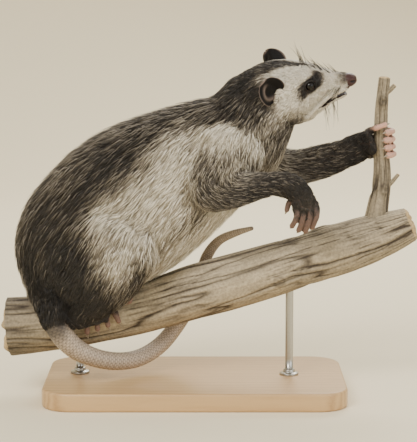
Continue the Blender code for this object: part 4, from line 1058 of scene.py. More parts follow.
def tuft_pieces(name, blades, tints, places, material):
    """Meshes of whole blades joined together, with no more of them in a piece than its limit."""
    parts = np.array_split(np.arange(len(blades)), math.ceil(len(blades) / BLADES_IN_A_PIECE))
    for k, part in enumerate(parts):
        start = (np.arange(len(part)) * len(BLADE_ROW))[:, None, None]
        quads = (BLADE_QUADS[None] + start).reshape(-1, 4)
        triangles = (BLADE_TRIANGLES[None] + start).reshape(-1, 3)
        patch = BLADE_PATCH * np.stack([BLADE_SPREAD, BLADE_ROW / BLADE_ROW[-1]], -1)
        point_uv = (places[part][:, None, :] + patch).reshape(-1, 2)
        uv = np.concatenate([point_uv[quads.ravel()], point_uv[triangles.ravel()]])
        yield make_piece(f"{name}_{k + 1}", blades[part].reshape(-1, 3), [quads, triangles], material,
                         tints[part].reshape(-1, 3), uv)


def grow_coat(skin):
    """(blades, tints, OFBake places, roots) of all tufts.

    Each has a root sunk in the skin, a row half way that follows the lie of the coat over it, and a tip. A
    row is place + (lead's place - place)*pull + normal*rise, where lead is the tuft that its clump leans to.
    """
    coat = settings("coat")
    rng = np.random.default_rng(5)
    surface = Surface(skin)
    face, shares = scatter(skin, rng, coat.amount)
    place = surface.value(skin.points, face, shares)
    count = len(place)
    tone = surface.value(skin.tone, face, shares)
    guard = surface.value(skin.guard, face, shares) * coat.guard_share / GUARD_SHARE
    guard = rng.random(count) < guard * step_between(0.02, 0.2, tone)
    length = surface.value(skin.length, face, shares) * MM * coat.length * rng.uniform(0.75, 1.15, count)
    length *= np.where(guard, 1.3, 1.0)
    depth = surface.value(skin.depth, face, shares) * MM
    width = surface.value(skin.width, face, shares) * MM * coat.width * rng.uniform(0.7, 1.3, count)
    width *= np.where(guard, 0.7, 1.0)
    places, uv = [place], skin.root_uv(place)
    normals = [unit(surface.value(skin.normals, face, shares))]
    sway = rng.normal(0, 0.13, (count, 1))
    for _ in range(2):
        lie, normal = surface.value(skin.flow, face, shares), normals[-1]
        lie = unit(lie + np.cross(normal, lie) * sway)
        ahead, face, shares = surface.nearest(places[-1] + lie * (length / 2)[:, None])
        places.append(ahead)
        normals.append(unit(surface.value(skin.normals, face, shares)))
    rows, normals = np.stack(places, 1), np.stack(normals, 1)
    lead = clump_leads(place, coat.clump, rng)
    pull = np.array([0, 0.14, 0.42])[None, :, None] * np.where(guard, 0.4, 1.0)[:, None, None]
    shift = rows[lead] - rows
    far = np.linalg.norm(rows[lead, 0] - rows[:, 0], axis=1) < 1.6 * coat.clump
    rows = rows + shift * pull * far[:, None, None]
    lift = depth * np.where(guard, rng.uniform(0.85, 1.25, count), rng.uniform(0.25, 1.05, count))
    # The root lies under the skin, and the row half way stands at three quarters of the tip's height
    rise = np.array([-0.5, 0.75, 1.0])[None] * lift[:, None] - np.array([0.8, 0, 0])[None] * MM
    rows = rows + normals * rise[..., None]
    headings = unit(np.gradient(rows, axis=1))
    blades = blade_points(rows, normals, headings, width, width * 0.42, rng.normal(0, 0.35, count))
    speckle = rng.normal(0, 0.07, count) + noise(place, coat.clump * 1.3, 9) * 0.07
    # Paler at the root and darker at the tip, but for the guard hairs, which keep one pale tone
    steps = np.array([0.09, 0.02, -0.08])
    bright = np.clip(tone + 0.3, 0.4, 1)[:, None] + np.zeros(3)
    level = np.where(guard[:, None], bright, (tone + speckle)[:, None] + steps)
    tints = coat_colour(np.clip(level, 0, 1))[:, BLADE_ROW]
    return blades, tints, uv, place


def node(tree, kind, inputs=(), **values):
    """Adds a node with its settings. An input given as a socket is linked, any other is set as a value."""
    made = tree.nodes.new(kind)
    for key, value in values.items():
        setattr(made, key, value)
    for key, value in dict(inputs).items():
        if isinstance(value, bpy.types.NodeSocket):
            tree.links.new(value, made.inputs[key])
        else:
            made.inputs[key].default_value = value
    return made


def new_material(name, **shader_values):
    """(material, its tree, its Principled shader) with values set on the shader's own sockets."""
    made = bpy.data.materials.new(name)
    made.use_nodes = True
    shader = made.node_tree.nodes["Principled BSDF"]
    for key, value in shader_values.items():
        shader.inputs[key.replace("_", " ")].default_value = value
    return made, made.node_tree, shader


def object_place(tree):
    """The socket with an object's own coordinates."""
    return node(tree, "ShaderNodeTexCoord").outputs["Object"]


def speckled(tree, source, scale, low, high):
    """(colour, grain) sockets: source times a noise from low to high, with scale repeats a metre."""
    grain = node(tree, "ShaderNodeTexNoise", {"Vector": object_place(tree), "Scale": scale, "Detail": 3.0})
    span = {"From Min": 0.3, "From Max": 0.7, "To Min": low, "To Max": high}
    value = node(tree, "ShaderNodeMapRange", {"Value": grain.outputs["Fac"], **span})
    colours = {0: 1.0, 6: source, 7: value.outputs[0]}
    mixed = node(tree, "ShaderNodeMix", colours, data_type="RGBA", blend_type="MULTIPLY")
    return mixed.outputs[2], grain.outputs["Fac"]


def raise_surface(tree, shader, height, distance, strength):
    """Makes the surface look raised by that distance where height is 1."""
    raised = node(tree, "ShaderNodeBump", {"Height": height, "Distance": distance, "Strength": strength})
    tree.links.new(raised.outputs["Normal"], shader.inputs["Normal"])


def tinted_material(name, scale, low, high, bump_height=0.0, **shader_values):
    """A material with the mesh's tint for its colour, fine mottling and, where asked, a fine bump."""
    made, tree, shader = new_material(name, **shader_values)
    tint = node(tree, "ShaderNodeVertexColor", layer_name="tint").outputs["Color"]
    colour, grain = speckled(tree, tint, scale, low, high)
    tree.links.new(colour, shader.inputs["Base Color"])
    if bump_height:
        raise_surface(tree, shader, grain, bump_height, 1.0)
    return made


def fur_material():
    """Coarse guard hair and underfur, dull with a slight gloss along each tuft, as dry mammal hair is.

    The mottling repeats each 1.1 mm, far coarser than a hair's own scales, so that it shows.
    """
    return tinted_material("opossum_hair", 900, 0.86, 1.08, Roughness=0.55, IOR=1.55, Sheen_Weight=0.06,
                           Specular_IOR_Level=0.35)


def skin_material():
    """Bare skin, soft and faintly see-through. Its creases are drawn 1.4 mm apart, coarse enough to show."""
    return tinted_material("opossum_skin", 700, 0.85, 1.1, 0.35 * MM, Roughness=0.55, IOR=1.4,
                           Subsurface_Weight=0.08, Subsurface_Scale=2 * MM)


def finish_piece(piece, slot, *nodes):
    """Rides the piece on the body and stands it for the CAD nodes given. The slot is not used."""
    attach(piece, BODY)
    if nodes:
        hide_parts(*nodes)
    return piece


LEG_PARTS = ("upper_foreleg", "lower_foreleg", "forefoot", "thigh", "shank", "hindfoot")
FLESH = ["torso", "neck", "head", "jaw"] + [f"{part}_{side}" for part in LEG_PARTS for _, side in SIDES]

# Where the first operator leaves the skin for those that need it
made_skin = {}


class OPOSSUM_OT_skin(bpy.types.Operator):
    """Makes the one skin of the head, trunk, legs, hands and feet"""
    bl_idname = "opossum.skin"
    bl_label = "Skin"

    def execute(self, context):
        skin = Skin()
        made_skin["skin"] = skin
        uv = skin.unwrap().reshape(-1, 2)
        piece = make_piece("skin", skin.points, [skin.faces], skin_material(), skin.tint(), uv)
        finish_piece(piece, "coat", *FLESH)
        return {"FINISHED"}


class OPOSSUM_OT_coat(bpy.types.Operator):
    """Grows the coat of tufts over the skin"""
    bl_idname = "opossum.coat"
    bl_label = "Coat"

    def execute(self, context):
        blades, tints, uv, place = grow_coat(made_skin["skin"])
        material = fur_material()
        x, y, z = to_head(place).T
        face = (x > -14) & (np.abs(y) < 45) & (np.abs(z) < 45)
        for name, chosen, slot in (("coat_face", face, "face_fur"), ("coat_body", ~face, "coat")):
            for piece in tuft_pieces(name, blades[chosen], tints[chosen], uv[chosen], material):
                finish_piece(piece, slot)
        return {"FINISHED"}


class OPOSSUM_OT_eyes(bpy.types.Operator):
    """Makes both eyes: a dark ball under a clear, wet surface, with a slight bulge of the cornea"""
    bl_idname = "opossum.eyes"
    bl_label = "Eyes"

    def execute(self, context):
        body = settings("body")
        radius, bulge = body.eye_radius, 0.05
        # A wet cornea over a nearly black iris and pupil: one dark, glossy ball with a cornea's index
        material, tree, shader = new_material("wet_eyeball", Roughness=0.04, IOR=1.376)
        tint = node(tree, "ShaderNodeVertexColor", layer_name="tint").outputs["Color"]
        tree.links.new(tint, shader.inputs["Base Color"])
        a, b = np.linspace(0, math.pi, 34)[1:-1, None], turns(48)[..., None]
        swell = radius * (1 + bulge * np.exp(-((a / 0.55) ** 2)))
        for (sign, side), centre in zip(SIDES, made_skin["skin"].eyes):
            out = unit(np.array(EYE_WAY) * (1, sign, 1) @ head_axes())
            first = unit(np.cross(out, (0, 0, 1)))
            second = np.cross(out, first)
            ring = first * np.cos(b) + second * np.sin(b)
            grid = centre + (out * np.cos(a)[..., None] + ring * np.sin(a)[..., None]) * swell[..., None]
            points, quads, caps = closed_tube(grid, (0, 0))
            points[-2], points[-1] = centre + out * radius * (1 + bulge), centre - out * radius
            gaze = unit(points - centre) @ out
            pupil = step_between(0.86, 0.9, gaze)[:, None]
            tints = np.array(body.eye) * (1.3 - pupil)
            piece = make_piece(f"eye_ball_{side}", points, [quads[:, ::-1], caps[:, ::-1]], material, tints)
            finish_piece(piece, "eye", f"eye_{side}")
        return {"FINISHED"}


def ear_shell(side):
    """(points, quads, paleness) of one ear: a thin cup with rolled rim, ridge, ribs and creased hind edge.

    A point is root + up*v*height + across*u*half(v) + face*bend(u, v), with v up the ear and u across it.
    """
    body = settings("body")
    root, tip, opening = (np.array(v) for v in EARS[side])
    sign = 1 if side == "left" else -1
    up = unit(tip - root)
    across = unit(np.cross(up, opening))
    face = unit(np.cross(across, up))
    height = np.linalg.norm(tip - root)
    width = body.ear_width / MM
    rows, columns = 44, 46
    v, u = np.meshgrid(np.linspace(-0.12, 1, rows), np.linspace(-1, 1, columns), indexing="ij")
    v = np.where(v > 0, np.sin(v * math.pi / 2), v)
    half = width / 2 * np.sqrt(np.clip(1 - ((v - 0.45) / 0.551) ** 2, 0.002, 1))
    bend = 9.0 * (u * half * 2 / width) ** 2 * (1.1 - 0.6 * v) + 3.5 * (v - 0.4) ** 2
    edge = np.maximum(np.abs(u), v)
    bend = bend + 1.1 * step_between(0.8, 1.0, edge) * np.cos(u * 2.1)
    ribs = 0.35 * np.sin(u * 9 + 2 * v) * step_between(0.95, 0.4, edge) * step_between(0.05, 0.4, v)
    fold = 0.4 * np.sin(v * 15) * step_between(0.5, 0.95, u * sign) * step_between(0.95, 0.5, v)
    turn = np.hypot(u, (v - 0.42) / 0.6)
    ridge = np.exp(-((turn - 0.56) / 0.13) ** 2)
    ridge = ridge * step_between(-0.35, 0.3, u * sign) * step_between(0.98, 0.8, v)
    line = root + up * (v * height)[..., None] + across * (u * half)[..., None]
    line = line + face * (bend + ribs + fold * 0.5 + ridge * 1.5)[..., None]
    wall = body.ear_wall / MM * (1 - 0.5 * np.clip(v, 0, 1)) * np.sqrt(np.clip(1.02 - edge**6, 0.05, 1))
    front, back = line + face * (wall / 2)[..., None], line - face * (wall / 2)[..., None]
    points = from_head(np.concatenate([front.reshape(-1, 3), back.reshape(-1, 3)])) * MM
    quads = grid_quads(rows, columns)
    n = rows * columns
    ring = np.concatenate([
        np.arange(columns), columns * np.arange(1, rows) + columns - 1,
        (rows - 1) * columns + np.arange(columns - 2, -1, -1), columns * np.arange(rows - 2, 0, -1)])
    after = np.roll(ring, -1)
    rim = np.stack([ring, ring + n, after + n, after], 1)
    faces = np.concatenate([quads, quads[:, ::-1] + n, rim])
    corners = points[faces]
    flat = np.cross(corners[:, 2] - corners[:, 0], corners[:, 3] - corners[:, 1])
    if (flat * (corners.mean(1) - points.mean(0))).sum() < 0:
        faces = faces[:, ::-1]
    inside = np.clip(step_between(0.93, 1.0, edge) + 0.6 * ridge, 0, 1)
    return points, faces, np.concatenate([inside.ravel(), step_between(0.9, 1.0, edge).ravel()])


class OPOSSUM_OT_ears(bpy.types.Operator):
    """Makes both ears: bare, black and leathery, with a paler rim"""
    bl_idname = "opossum.ears"
    bl_label = "Ears"

    def execute(self, context):
        body = settings("body")
        # Thin leathery skin: matt and dark, with wrinkles 1.7 mm apart, coarse enough to show
        material = tinted_material("ear_leather", 600, 0.8, 1.15, 0.3 * MM, Roughness=0.6, IOR=1.4,
                                   Specular_IOR_Level=0.2)
        for side in EARS:
            points, faces, rim = ear_shell(side)
            tints = blend(np.array(body.ear), body.ear_rim, rim[:, None])
            piece = make_piece(f"ear_cup_{side}", points, [faces], material, tints)
            finish_piece(piece, "ear_skin", f"ear_{side}")
        return {"FINISHED"}


def nose_shell():
    """(points, quads, triangles, depth) of the nose, with its nostrils, their slits and the middle groove;
    depth is the share of painted shade in those hollows.

    A point is (start + t*length, wide*swell*cos(a), tall*swell*sin(a)), then moved in or out by bumps.
    """
    t, a = np.linspace(0, 1, 40)[:, None], turns(64)
    swell = np.sqrt(np.clip(1 - np.clip((t - 0.35) / 0.68, 0, 1) ** 2.4, 0, 1)) * (1 + 0.06 * np.sin(t * 5))
    x = NOSE_START - 3 + t * (NOSE_LENGTH + 2.6)
    y = np.cos(a) * 7.6 * swell * (1 - 0.1 * t)
    z = 1.6 + np.sin(a) * 6.6 * swell * (1 - 0.12 * t) - 0.5 * t
    local = np.stack(np.broadcast_arrays(x, y, z), -1)
    out = unit(local - np.array([NOSE_START - 2, 0, 1.5]))

    def pair(ahead, aside, rise, radii):
        """One bump on each side."""
        return sum(bump(local, (NOSE_START + ahead, aside * sign, rise), radii) for sign, _ in SIDES)

    hole, slit = pair(4.6, 5.6, 0.9, (3.0, 1.7, 1.25)), pair(2.2, 7.2, 2.0, (2.6, 1.2, 0.8))
    wings = pair(2.5, 5.2, 3.6, (3.2, 2.4, 2.0))
    groove = bump(local, (NOSE_START + 6.5, 0, -1.5), (3.5, 0.7, 4.5))
    local = local - out * (hole * 1.7 + slit * 0.9 + groove * 0.9 - wings * 0.6)[..., None]
    # How deep the hollows sink, which sets how much painted shade they get
    depth = np.concatenate([(hole + slit * 0.8 + groove * 0.3).ravel(), [0, 0]])
    return *closed_tube(from_head(local) * MM, (0, 0)), step_between(0.2, 0.6, depth)[:, None]


class OPOSSUM_OT_nose(bpy.types.Operator):
    """Makes the bare nose with its nostrils and the groove between them"""
    bl_idname = "opossum.nose"
    bl_label = "Nose"

    def execute(self, context):
        points, quads, caps, depth = nose_shell()
        # Nearly black in the nostrils, slits and groove: painted shade in the hollows
        tints = blend(np.array(settings("body").nose), NOSTRIL_SHADOW, depth)
        # Moist bare skin with a slight wet gloss, pebbled each 0.9 mm
        material = tinted_material("nose_skin", 1100, 0.85, 1.1, 0.3 * MM, Roughness=0.4, IOR=1.4,
                                   Coat_Weight=0.12, Specular_IOR_Level=0.3)
        piece = make_piece("nose_pad", points, [quads, caps], material, tints)
        finish_piece(piece, "skin_pink", "nose")
        return {"FINISHED"}


def claw_shells():
    """Curved, tapering claws: an oval that shrinks as 1 - s**2.2 along a line that bends down as s*s."""
    body = settings("body")
    # The way that each foot's claws bend
    downs = {"hand_right": (-0.4, 0.9, -0.2), "hand_left": (0.25, 1, -0.5), "foot_right": (0.3, 0.9, -0.5),
             "foot_left": (0.3, -0.9, -0.5)}
    shells = []
    s, a = np.linspace(0, 1, 12)[:, None], turns(12)
    for name, limb in made_skin["skin"].limbs.items():
        if limb.kind != "digit" or name.startswith("foot") and name.endswith("4"):
            continue
        forward, tip = limb.along[-1], limb.centre[-1]
        down = unit(downs[name[:name.index("_digit")]])
        down = unit(down - (down @ forward) * forward)
        side = np.cross(forward, down)
        length, radius = body.claw_length * (0.5 if name.startswith("hand") else 1.0), limb.across[-1]
        line = tip + forward * (s - 0.2) * (length + radius) + down * (s**2 * length * 0.7 - radius * 0.15)
        shrink = (1 - s**2.2) * 0.55 + 0.02
        grid = (line[:, None] + side * (np.cos(a) * shrink * radius * 0.8)[..., None]
                + down * (np.sin(a) * shrink * radius * 1.05)[..., None])
        shells.append(closed_tube(grid, (0.5, 0.5)))
    return shells


class OPOSSUM_OT_claws(bpy.types.Operator):
    """Makes the claws of all four feet"""
    bl_idname = "opossum.claws"
    bl_label = "Claws"

    def execute(self, context):
        points, quads, caps = joined(claw_shells())
        # Keratin horn: smooth and slightly glossy, with growth marks 2 mm long
        material, tree, shader = new_material("claw_horn", Roughness=0.3, IOR=1.54)
        colour, _ = speckled(tree, (*settings("body").claw, 1), 500, 0.75, 1.05)
        tree.links.new(colour, shader.inputs["Base Color"])
        finish_piece(make_piece("claws", points, [quads, caps], material), "skin_pink")
        return {"FINISHED"}


class OPOSSUM_OT_tail(bpy.types.Operator):
    """Makes the bare tail with its rings of overlapping scales"""
    bl_idname = "opossum.tail"
    bl_label = "Tail"

    def execute(self, context):
        body = settings("body")
        limb = Limb(TAIL, rows=300)
        sides, scales_around = 70, 14
        t, a = np.linspace(0, 1, 800)[:, None], turns(sides)
        ring = t * (limb.length / body.scale_pitch)
        row = np.floor(ring)
        along = ring - row
        across = (a / TAU * scales_around + 0.5 * (row % 2)) % 1
        scale = np.sin(across * math.pi) ** 0.6 * (0.35 + 0.65 * along) * step_between(1.0, 0.86, along)
        thickness = limb.row(limb.across, t)
        height = body.scale_height * np.clip(thickness / (8 * MM), 0.35, 1)
        place = limb.at(t, a)
        lumps = noise(place, 30 * MM, 12) * 0.25 * MM
        grid = limb.at(t, a, (scale - 0.6) * height + lumps - 0.1 * MM)
        points, quads, caps = closed_tube(grid, (0.8, 0.9))
        dome, poles = len(DOME_RINGS) * sides, 2
        along_tail = np.broadcast_to(t, scale.shape).ravel()
        share = np.concatenate([np.zeros(dome), along_tail, np.ones(dome + poles)])
        raised = np.concatenate([np.zeros(dome), scale.ravel(), np.zeros(dome + poles)])[:, None]
        dark = step_between(0.2, 0.08, share + 0.03 * noise(points, 10 * MM, 2))[:, None]
        blotch = 1 + 0.1 * noise(points, 16 * MM, 6)[:, None] + 0.06 * noise(points, 4 * MM, 7)[:, None]
        # Darker between the scales, where raised is low: painted shade in the gaps
        pale = np.array(body.tail_pale) * (0.3 + 0.74 * raised) * blotch
        tints = blend(pale, np.array(body.tail_dark) * (0.7 + 0.5 * raised), dark)
        # Bare scaly skin: dry, each scale a little glossy, mottled each 2 mm, about once a scale
        material = tinted_material("tail_scales", 500, 0.88, 1.08, Roughness=0.48, IOR=1.45)
        piece = make_piece("tail_whole", points, [quads, caps], material, tints)
        finish_piece(piece, "tail_skin", *[f"tail_{k}" for k in range(1, 6)])
        return {"FINISHED"}


def hair_tube(line, radius):
    """closed_tube of a thin hair along a line of points in metres. Its radius falls as 1 - 0.9*t**1.3."""
    along = unit(np.gradient(line, axis=0))
    side = unit(np.cross(along, (0.3, 0.5, 0.81)))
    up = np.cross(along, side)
    taper = radius * (1 - 0.9 * np.linspace(0, 1, len(line)) ** 1.3)
    a = turns(5)[..., None]
    grid = line[:, None] + (side[:, None] * np.cos(a) + up[:, None] * np.sin(a)) * taper[:, None, None]
    return closed_tube(grid, (0, 0))


# Root in the head's frame, spread of the roots, direction, length, and how many on each side
WHISKER_GROUPS = [
    ((64, 9.6, -1), (7, 0.6, 2.6), (-0.3, 0.95, 0.05), 36, 11),
    ((56, 4, 18), (15, 3, 2), (-0.48, 0.1, 0.85), 16, 15),
    ((38, 5, 27), (4, 3, 1), (-0.08, 0.1, 0.97), 24, 6),
    ((58, 9.0, -16), (9, 1.2, 1.0), (0.02, 0.2, -1.0), 27, 8),
    ((24, 27, -12), (3, 1, 3), (-0.3, 1.0, -0.2), 22, 3),
]


class OPOSSUM_OT_whiskers(bpy.types.Operator):
    """Makes the whiskers of the snout, brows, cheeks and chin"""
    bl_idname = "opossum.whiskers"
    bl_label = "Whiskers"

    def execute(self, context):
        rng = np.random.default_rng(3)
        shells = []
        surface = Surface(made_skin["skin"])
        s = np.linspace(0, 1, 12)[:, None]
        for root, spread, way, length, count in WHISKER_GROUPS:
            for sign, _ in SIDES:
                for _ in range(count):
                    start = (np.array(root) + rng.uniform(-1, 1, 3) * spread) * (1, sign, 1)
                    start = to_head(surface.nearest(from_head([start]) * MM)[0])[0]
                    heading = unit((np.array(way) + rng.normal(0, 0.08, 3)) * (1, sign, 1))
                    reach = length * rng.uniform(0.7, 1.1)
                    droop = np.array([-0.35, 0, -0.25]) * rng.uniform(0.4, 1.2)
                    line = start - heading * 1.5 + heading * s * reach + droop * s**2 * reach * 0.35
                    shells.append(hair_tube(from_head(line) * MM, settings("coat").whisker_radius))
        points, quads, caps = joined(shells)
        # Stiff smooth hair, dark at this thickness
        material = new_material("whisker_hair", Base_Color=(*WHISKER, 1), Roughness=0.35, IOR=1.55)[0]
        finish_piece(make_piece("whiskers", points, [quads, caps], material), "dark_fur")
        return {"FINISHED"}


def bark_relief(t, angle, radius, length, seed):
    """(height, brightness) of bark, both from about -1 to 1. The brightness is lowered in the cracks as
    painted shade.

    It is noise stretched along the limb, cracked where it crosses 0. A place on the bark is
    (radius*cos(angle), radius*sin(angle), s/stretch), with s the way along in millimetres.
    """
    s = t * length / MM

    def stretched(size, stretch, layer, wander=0.0):
        """Noise of that size, longer along the limb by stretch, with its angle moved by wander."""
        ring = [radius / MM * f(angle + wander) + 0 * s for f in (np.cos, np.sin)]
        return noise(np.stack([*ring, s / stretch + 0 * angle], -1), size, seed + layer)

    wander = stretched(30, 2.5, 1) * 0.1 + stretched(9, 1.5, 2) * 0.035
    wide, narrow = stretched(5.5, 16, 3, wander), stretched(2.8, 11, 4, wander)
    crack = np.exp(-((wide / 0.12) ** 2)) * step_between(-0.5, -0.05, stretched(16, 4, 8))
    hair_crack = np.exp(-((narrow / 0.15) ** 2)) * step_between(-0.35, 0.15, stretched(12, 4, 5))
    fibre = stretched(1.3, 14, 6, wander)
    # The brightness drops in the cracks: painted shade
    return (0.5 * np.abs(wide) ** 0.7 - crack - 0.5 * hair_crack + 0.16 * fibre,
            0.3 - 1.2 * crack - 0.85 * hair_crack + 0.35 * fibre + 0.25 * stretched(30, 3, 7))


def bark_piece(limb, sides, rows, seed, ends, knots=(), shade=1.0):
    """(points, quads, caps, tint) of a branch with bark relief, knots, and split wood at its ends.

    The bark's lift off the limb is ridge*relief + lumps + a bump and a pit for each knot. Each end has rings
    that shrink to its middle and stand out by jag*(1 - f**3) and a noise. A tone past 1 stands for bare wood.
    """
    perch = settings("perch")
    t, a = np.linspace(0, 1, rows)[:, None], turns(sides)
    relief, light = bark_relief(t, a, limb.across.mean(), limb.length, seed)
    lumps = noise(limb.at(t, a), 45 * MM, seed + 8)
    lift = perch.ridge * relief + lumps * 1.3 * MM - 0.9 * MM
    knot_mark = np.zeros_like(relief)
    for share, turn, size, height in knots:
        off = (a - math.radians(turn) + math.pi) % TAU - math.pi
        r = np.hypot((t - share) * limb.length, off * limb.row(limb.across, t)) / (size * MM)
        lift = lift + height * MM * np.exp(-r**2) - 1.4 * MM * np.exp(-((r / 0.35) ** 2))
        knot_mark = np.maximum(knot_mark, np.exp(-((r - 0.75) / 0.22) ** 2) * 0.7 + np.exp(-((r / 0.4) ** 2)))
    grid = limb.at(t, a, lift)
    # Darker towards the left broken end, and painted shade on the underside of the branch and the stem
    dark_end_and_shaded_underside = 1 - 0.45 * step_between(0.13, 0.0, t) - 0.25 * step_between(0.1, -0.9, np.sin(a))
    bright = np.clip(0.5 + 0.5 * light, 0, 1) * (1 - 0.6 * np.clip(knot_mark, 0, 1)) * dark_end_and_shaded_underside * shade
    rings, marks = [], []
    for end, sign, jag in ((0, -1, ends[0]), (-1, 1, ends[1])):
        rim, middle, along = grid[end], grid[end].mean(0), limb.along[end]
        shells, tones = [], []
        for k, f in enumerate(np.linspace(0.97, 0.06, 20)):
            flat = middle + (rim - middle) * f
            split = noise(flat * (0.2, 1, 1), (4 + 0.7 * jag) * MM, seed + 9) * jag * MM
            rise = split + jag * MM * (0.6 if 0 < k else 0.1) * (1 - f**3)
            shells.append(flat + along * sign * rise[:, None])
            growth = np.sin(f * 24 + 1.3 * noise(flat, 18 * MM, seed + 10))
            crack = np.clip(-split / (jag * MM) - 0.25, 0, 1)
            # Darker where the split wood sinks: painted shade in the splits
            tones.append(np.clip(1.9 + 0.12 * growth - 0.9 * crack, 1.0, 2.2))
        rings.append(shells)
        marks.append(tones)
    points, quads, caps = closed_tube(np.concatenate([rings[0][::-1], grid, rings[1]]), (0, 0))
    tone = np.concatenate([*marks[0][::-1], bright.ravel(), *marks[1], [1.8, 1.8]])
    tone = tone[:, None]
    weather = 1 + 0.14 * noise(points, 20 * MM, seed + 11)[:, None]
    bark = blend(np.array(perch.bark_dark), perch.bark_light, np.clip(tone, 0, 1)) * weather
    wood = np.array(perch.wood) * (tone - 1.0) * weather
    return points, quads, caps, np.where(tone > 1.0, wood, bark)


class OPOSSUM_OT_perch(bpy.types.Operator):
    """Makes the cut branch and its upright stem"""
    bl_idname = "opossum.perch"
    bl_label = "Branch and stem"

    def execute(self, context):
        # Weathered bark: dull, with furrows along the grain, and mottled each 2.4 mm
        material = tinted_material("weathered_bark", 420, 0.72, 1.14, 0.7 * MM, Roughness=0.88)
        points, quads, caps, tint = bark_piece(Limb(BRANCH), 176, 360, 31, (6.0, 3.0), BRANCH_KNOTS)
        finish_piece(make_piece("branch", points, [quads, caps], material, tint), "bark", "perch_branch")
        parts = [bark_piece(Limb(STEM), 84, 230, 41, (0.5, 2.6), STEM_KNOTS, STEM_SHADE)]
        for (x, y, z), (dx, dy, dz), radius in STUBS:
            stub = Limb([(x, y, z, radius + 2), (x + dx * 0.55, y + dy * 0.6, z + dz * 0.4, radius),
                         (x + dx, y + dy, z + dz, radius * 0.8)], rows=20)
            parts.append(bark_piece(stub, 40, 50, 51, (0.5, 1.2), (), STEM_SHADE))
        points, quads, caps = joined(parts)
        tint = np.concatenate([part[3] for part in parts])
        finish_piece(make_piece("stem", points, [quads, caps], material, tint), "bark", "perch_stem")
        return {"FINISHED"}


def rounded_slab(length, width, thick, corner, edge):
    """Rows of a slab with round corners and edges: each row is the outline, moved in as the edge rounds over.

    The outline is middle of a corner + (corner - inset)*(cos(turn), sin(turn)).
    """
    n = 24
    turn = np.linspace(0, TAU, 4 * n, endpoint=False) + TAU / (8 * n)
    quarter = np.floor(turn / (TAU / 4)).astype(int)
    signs = np.array([(1, 1), (-1, 1), (-1, -1), (1, -1)])[quarter]
    middle = signs * (np.array([length, width]) / 2 - corner)
    levels = [(0, 0.6 * edge), (0.4 * edge, 0.15 * edge), (edge, 0)]
    levels += [(thick - edge + edge * math.sin(a), edge * (1 - math.cos(a)))
               for a in np.radians(np.linspace(0, 90, 9))]
    rows = []
    for z, inset in levels:
        ring = middle + (corner - inset) * np.stack([np.cos(turn), np.sin(turn)], 1)
        rows.append(np.column_stack([ring, np.full(4 * n, z)]))
    return np.array(rows)


# The collar at a rod's foot: height above the board, and radius as a share of the rod's
COLLAR = [(0, 2.4), (1.6, 2.4), (2.2, 2.25), (3, 1.5), (5.5, 1.4), (6, 1.25), (6.2, 1)]


def rod_grid(x, y, base, top, radius):
    """Rows of a rod from the board up to the branch: a circle swept up a profile."""
    profile = np.array([(base + rise * MM, share * radius) for rise, share in COLLAR] + [(top, radius)])
    knots = np.linspace(0, len(profile) - 1, 4 * len(profile))
    heights, radii = (np.interp(knots, np.arange(len(profile)), column)[:, None] for column in profile.T)
    a = turns(40)
    return np.stack(np.broadcast_arrays(x + np.cos(a) * radii, y + np.sin(a) * radii, heights), -1)


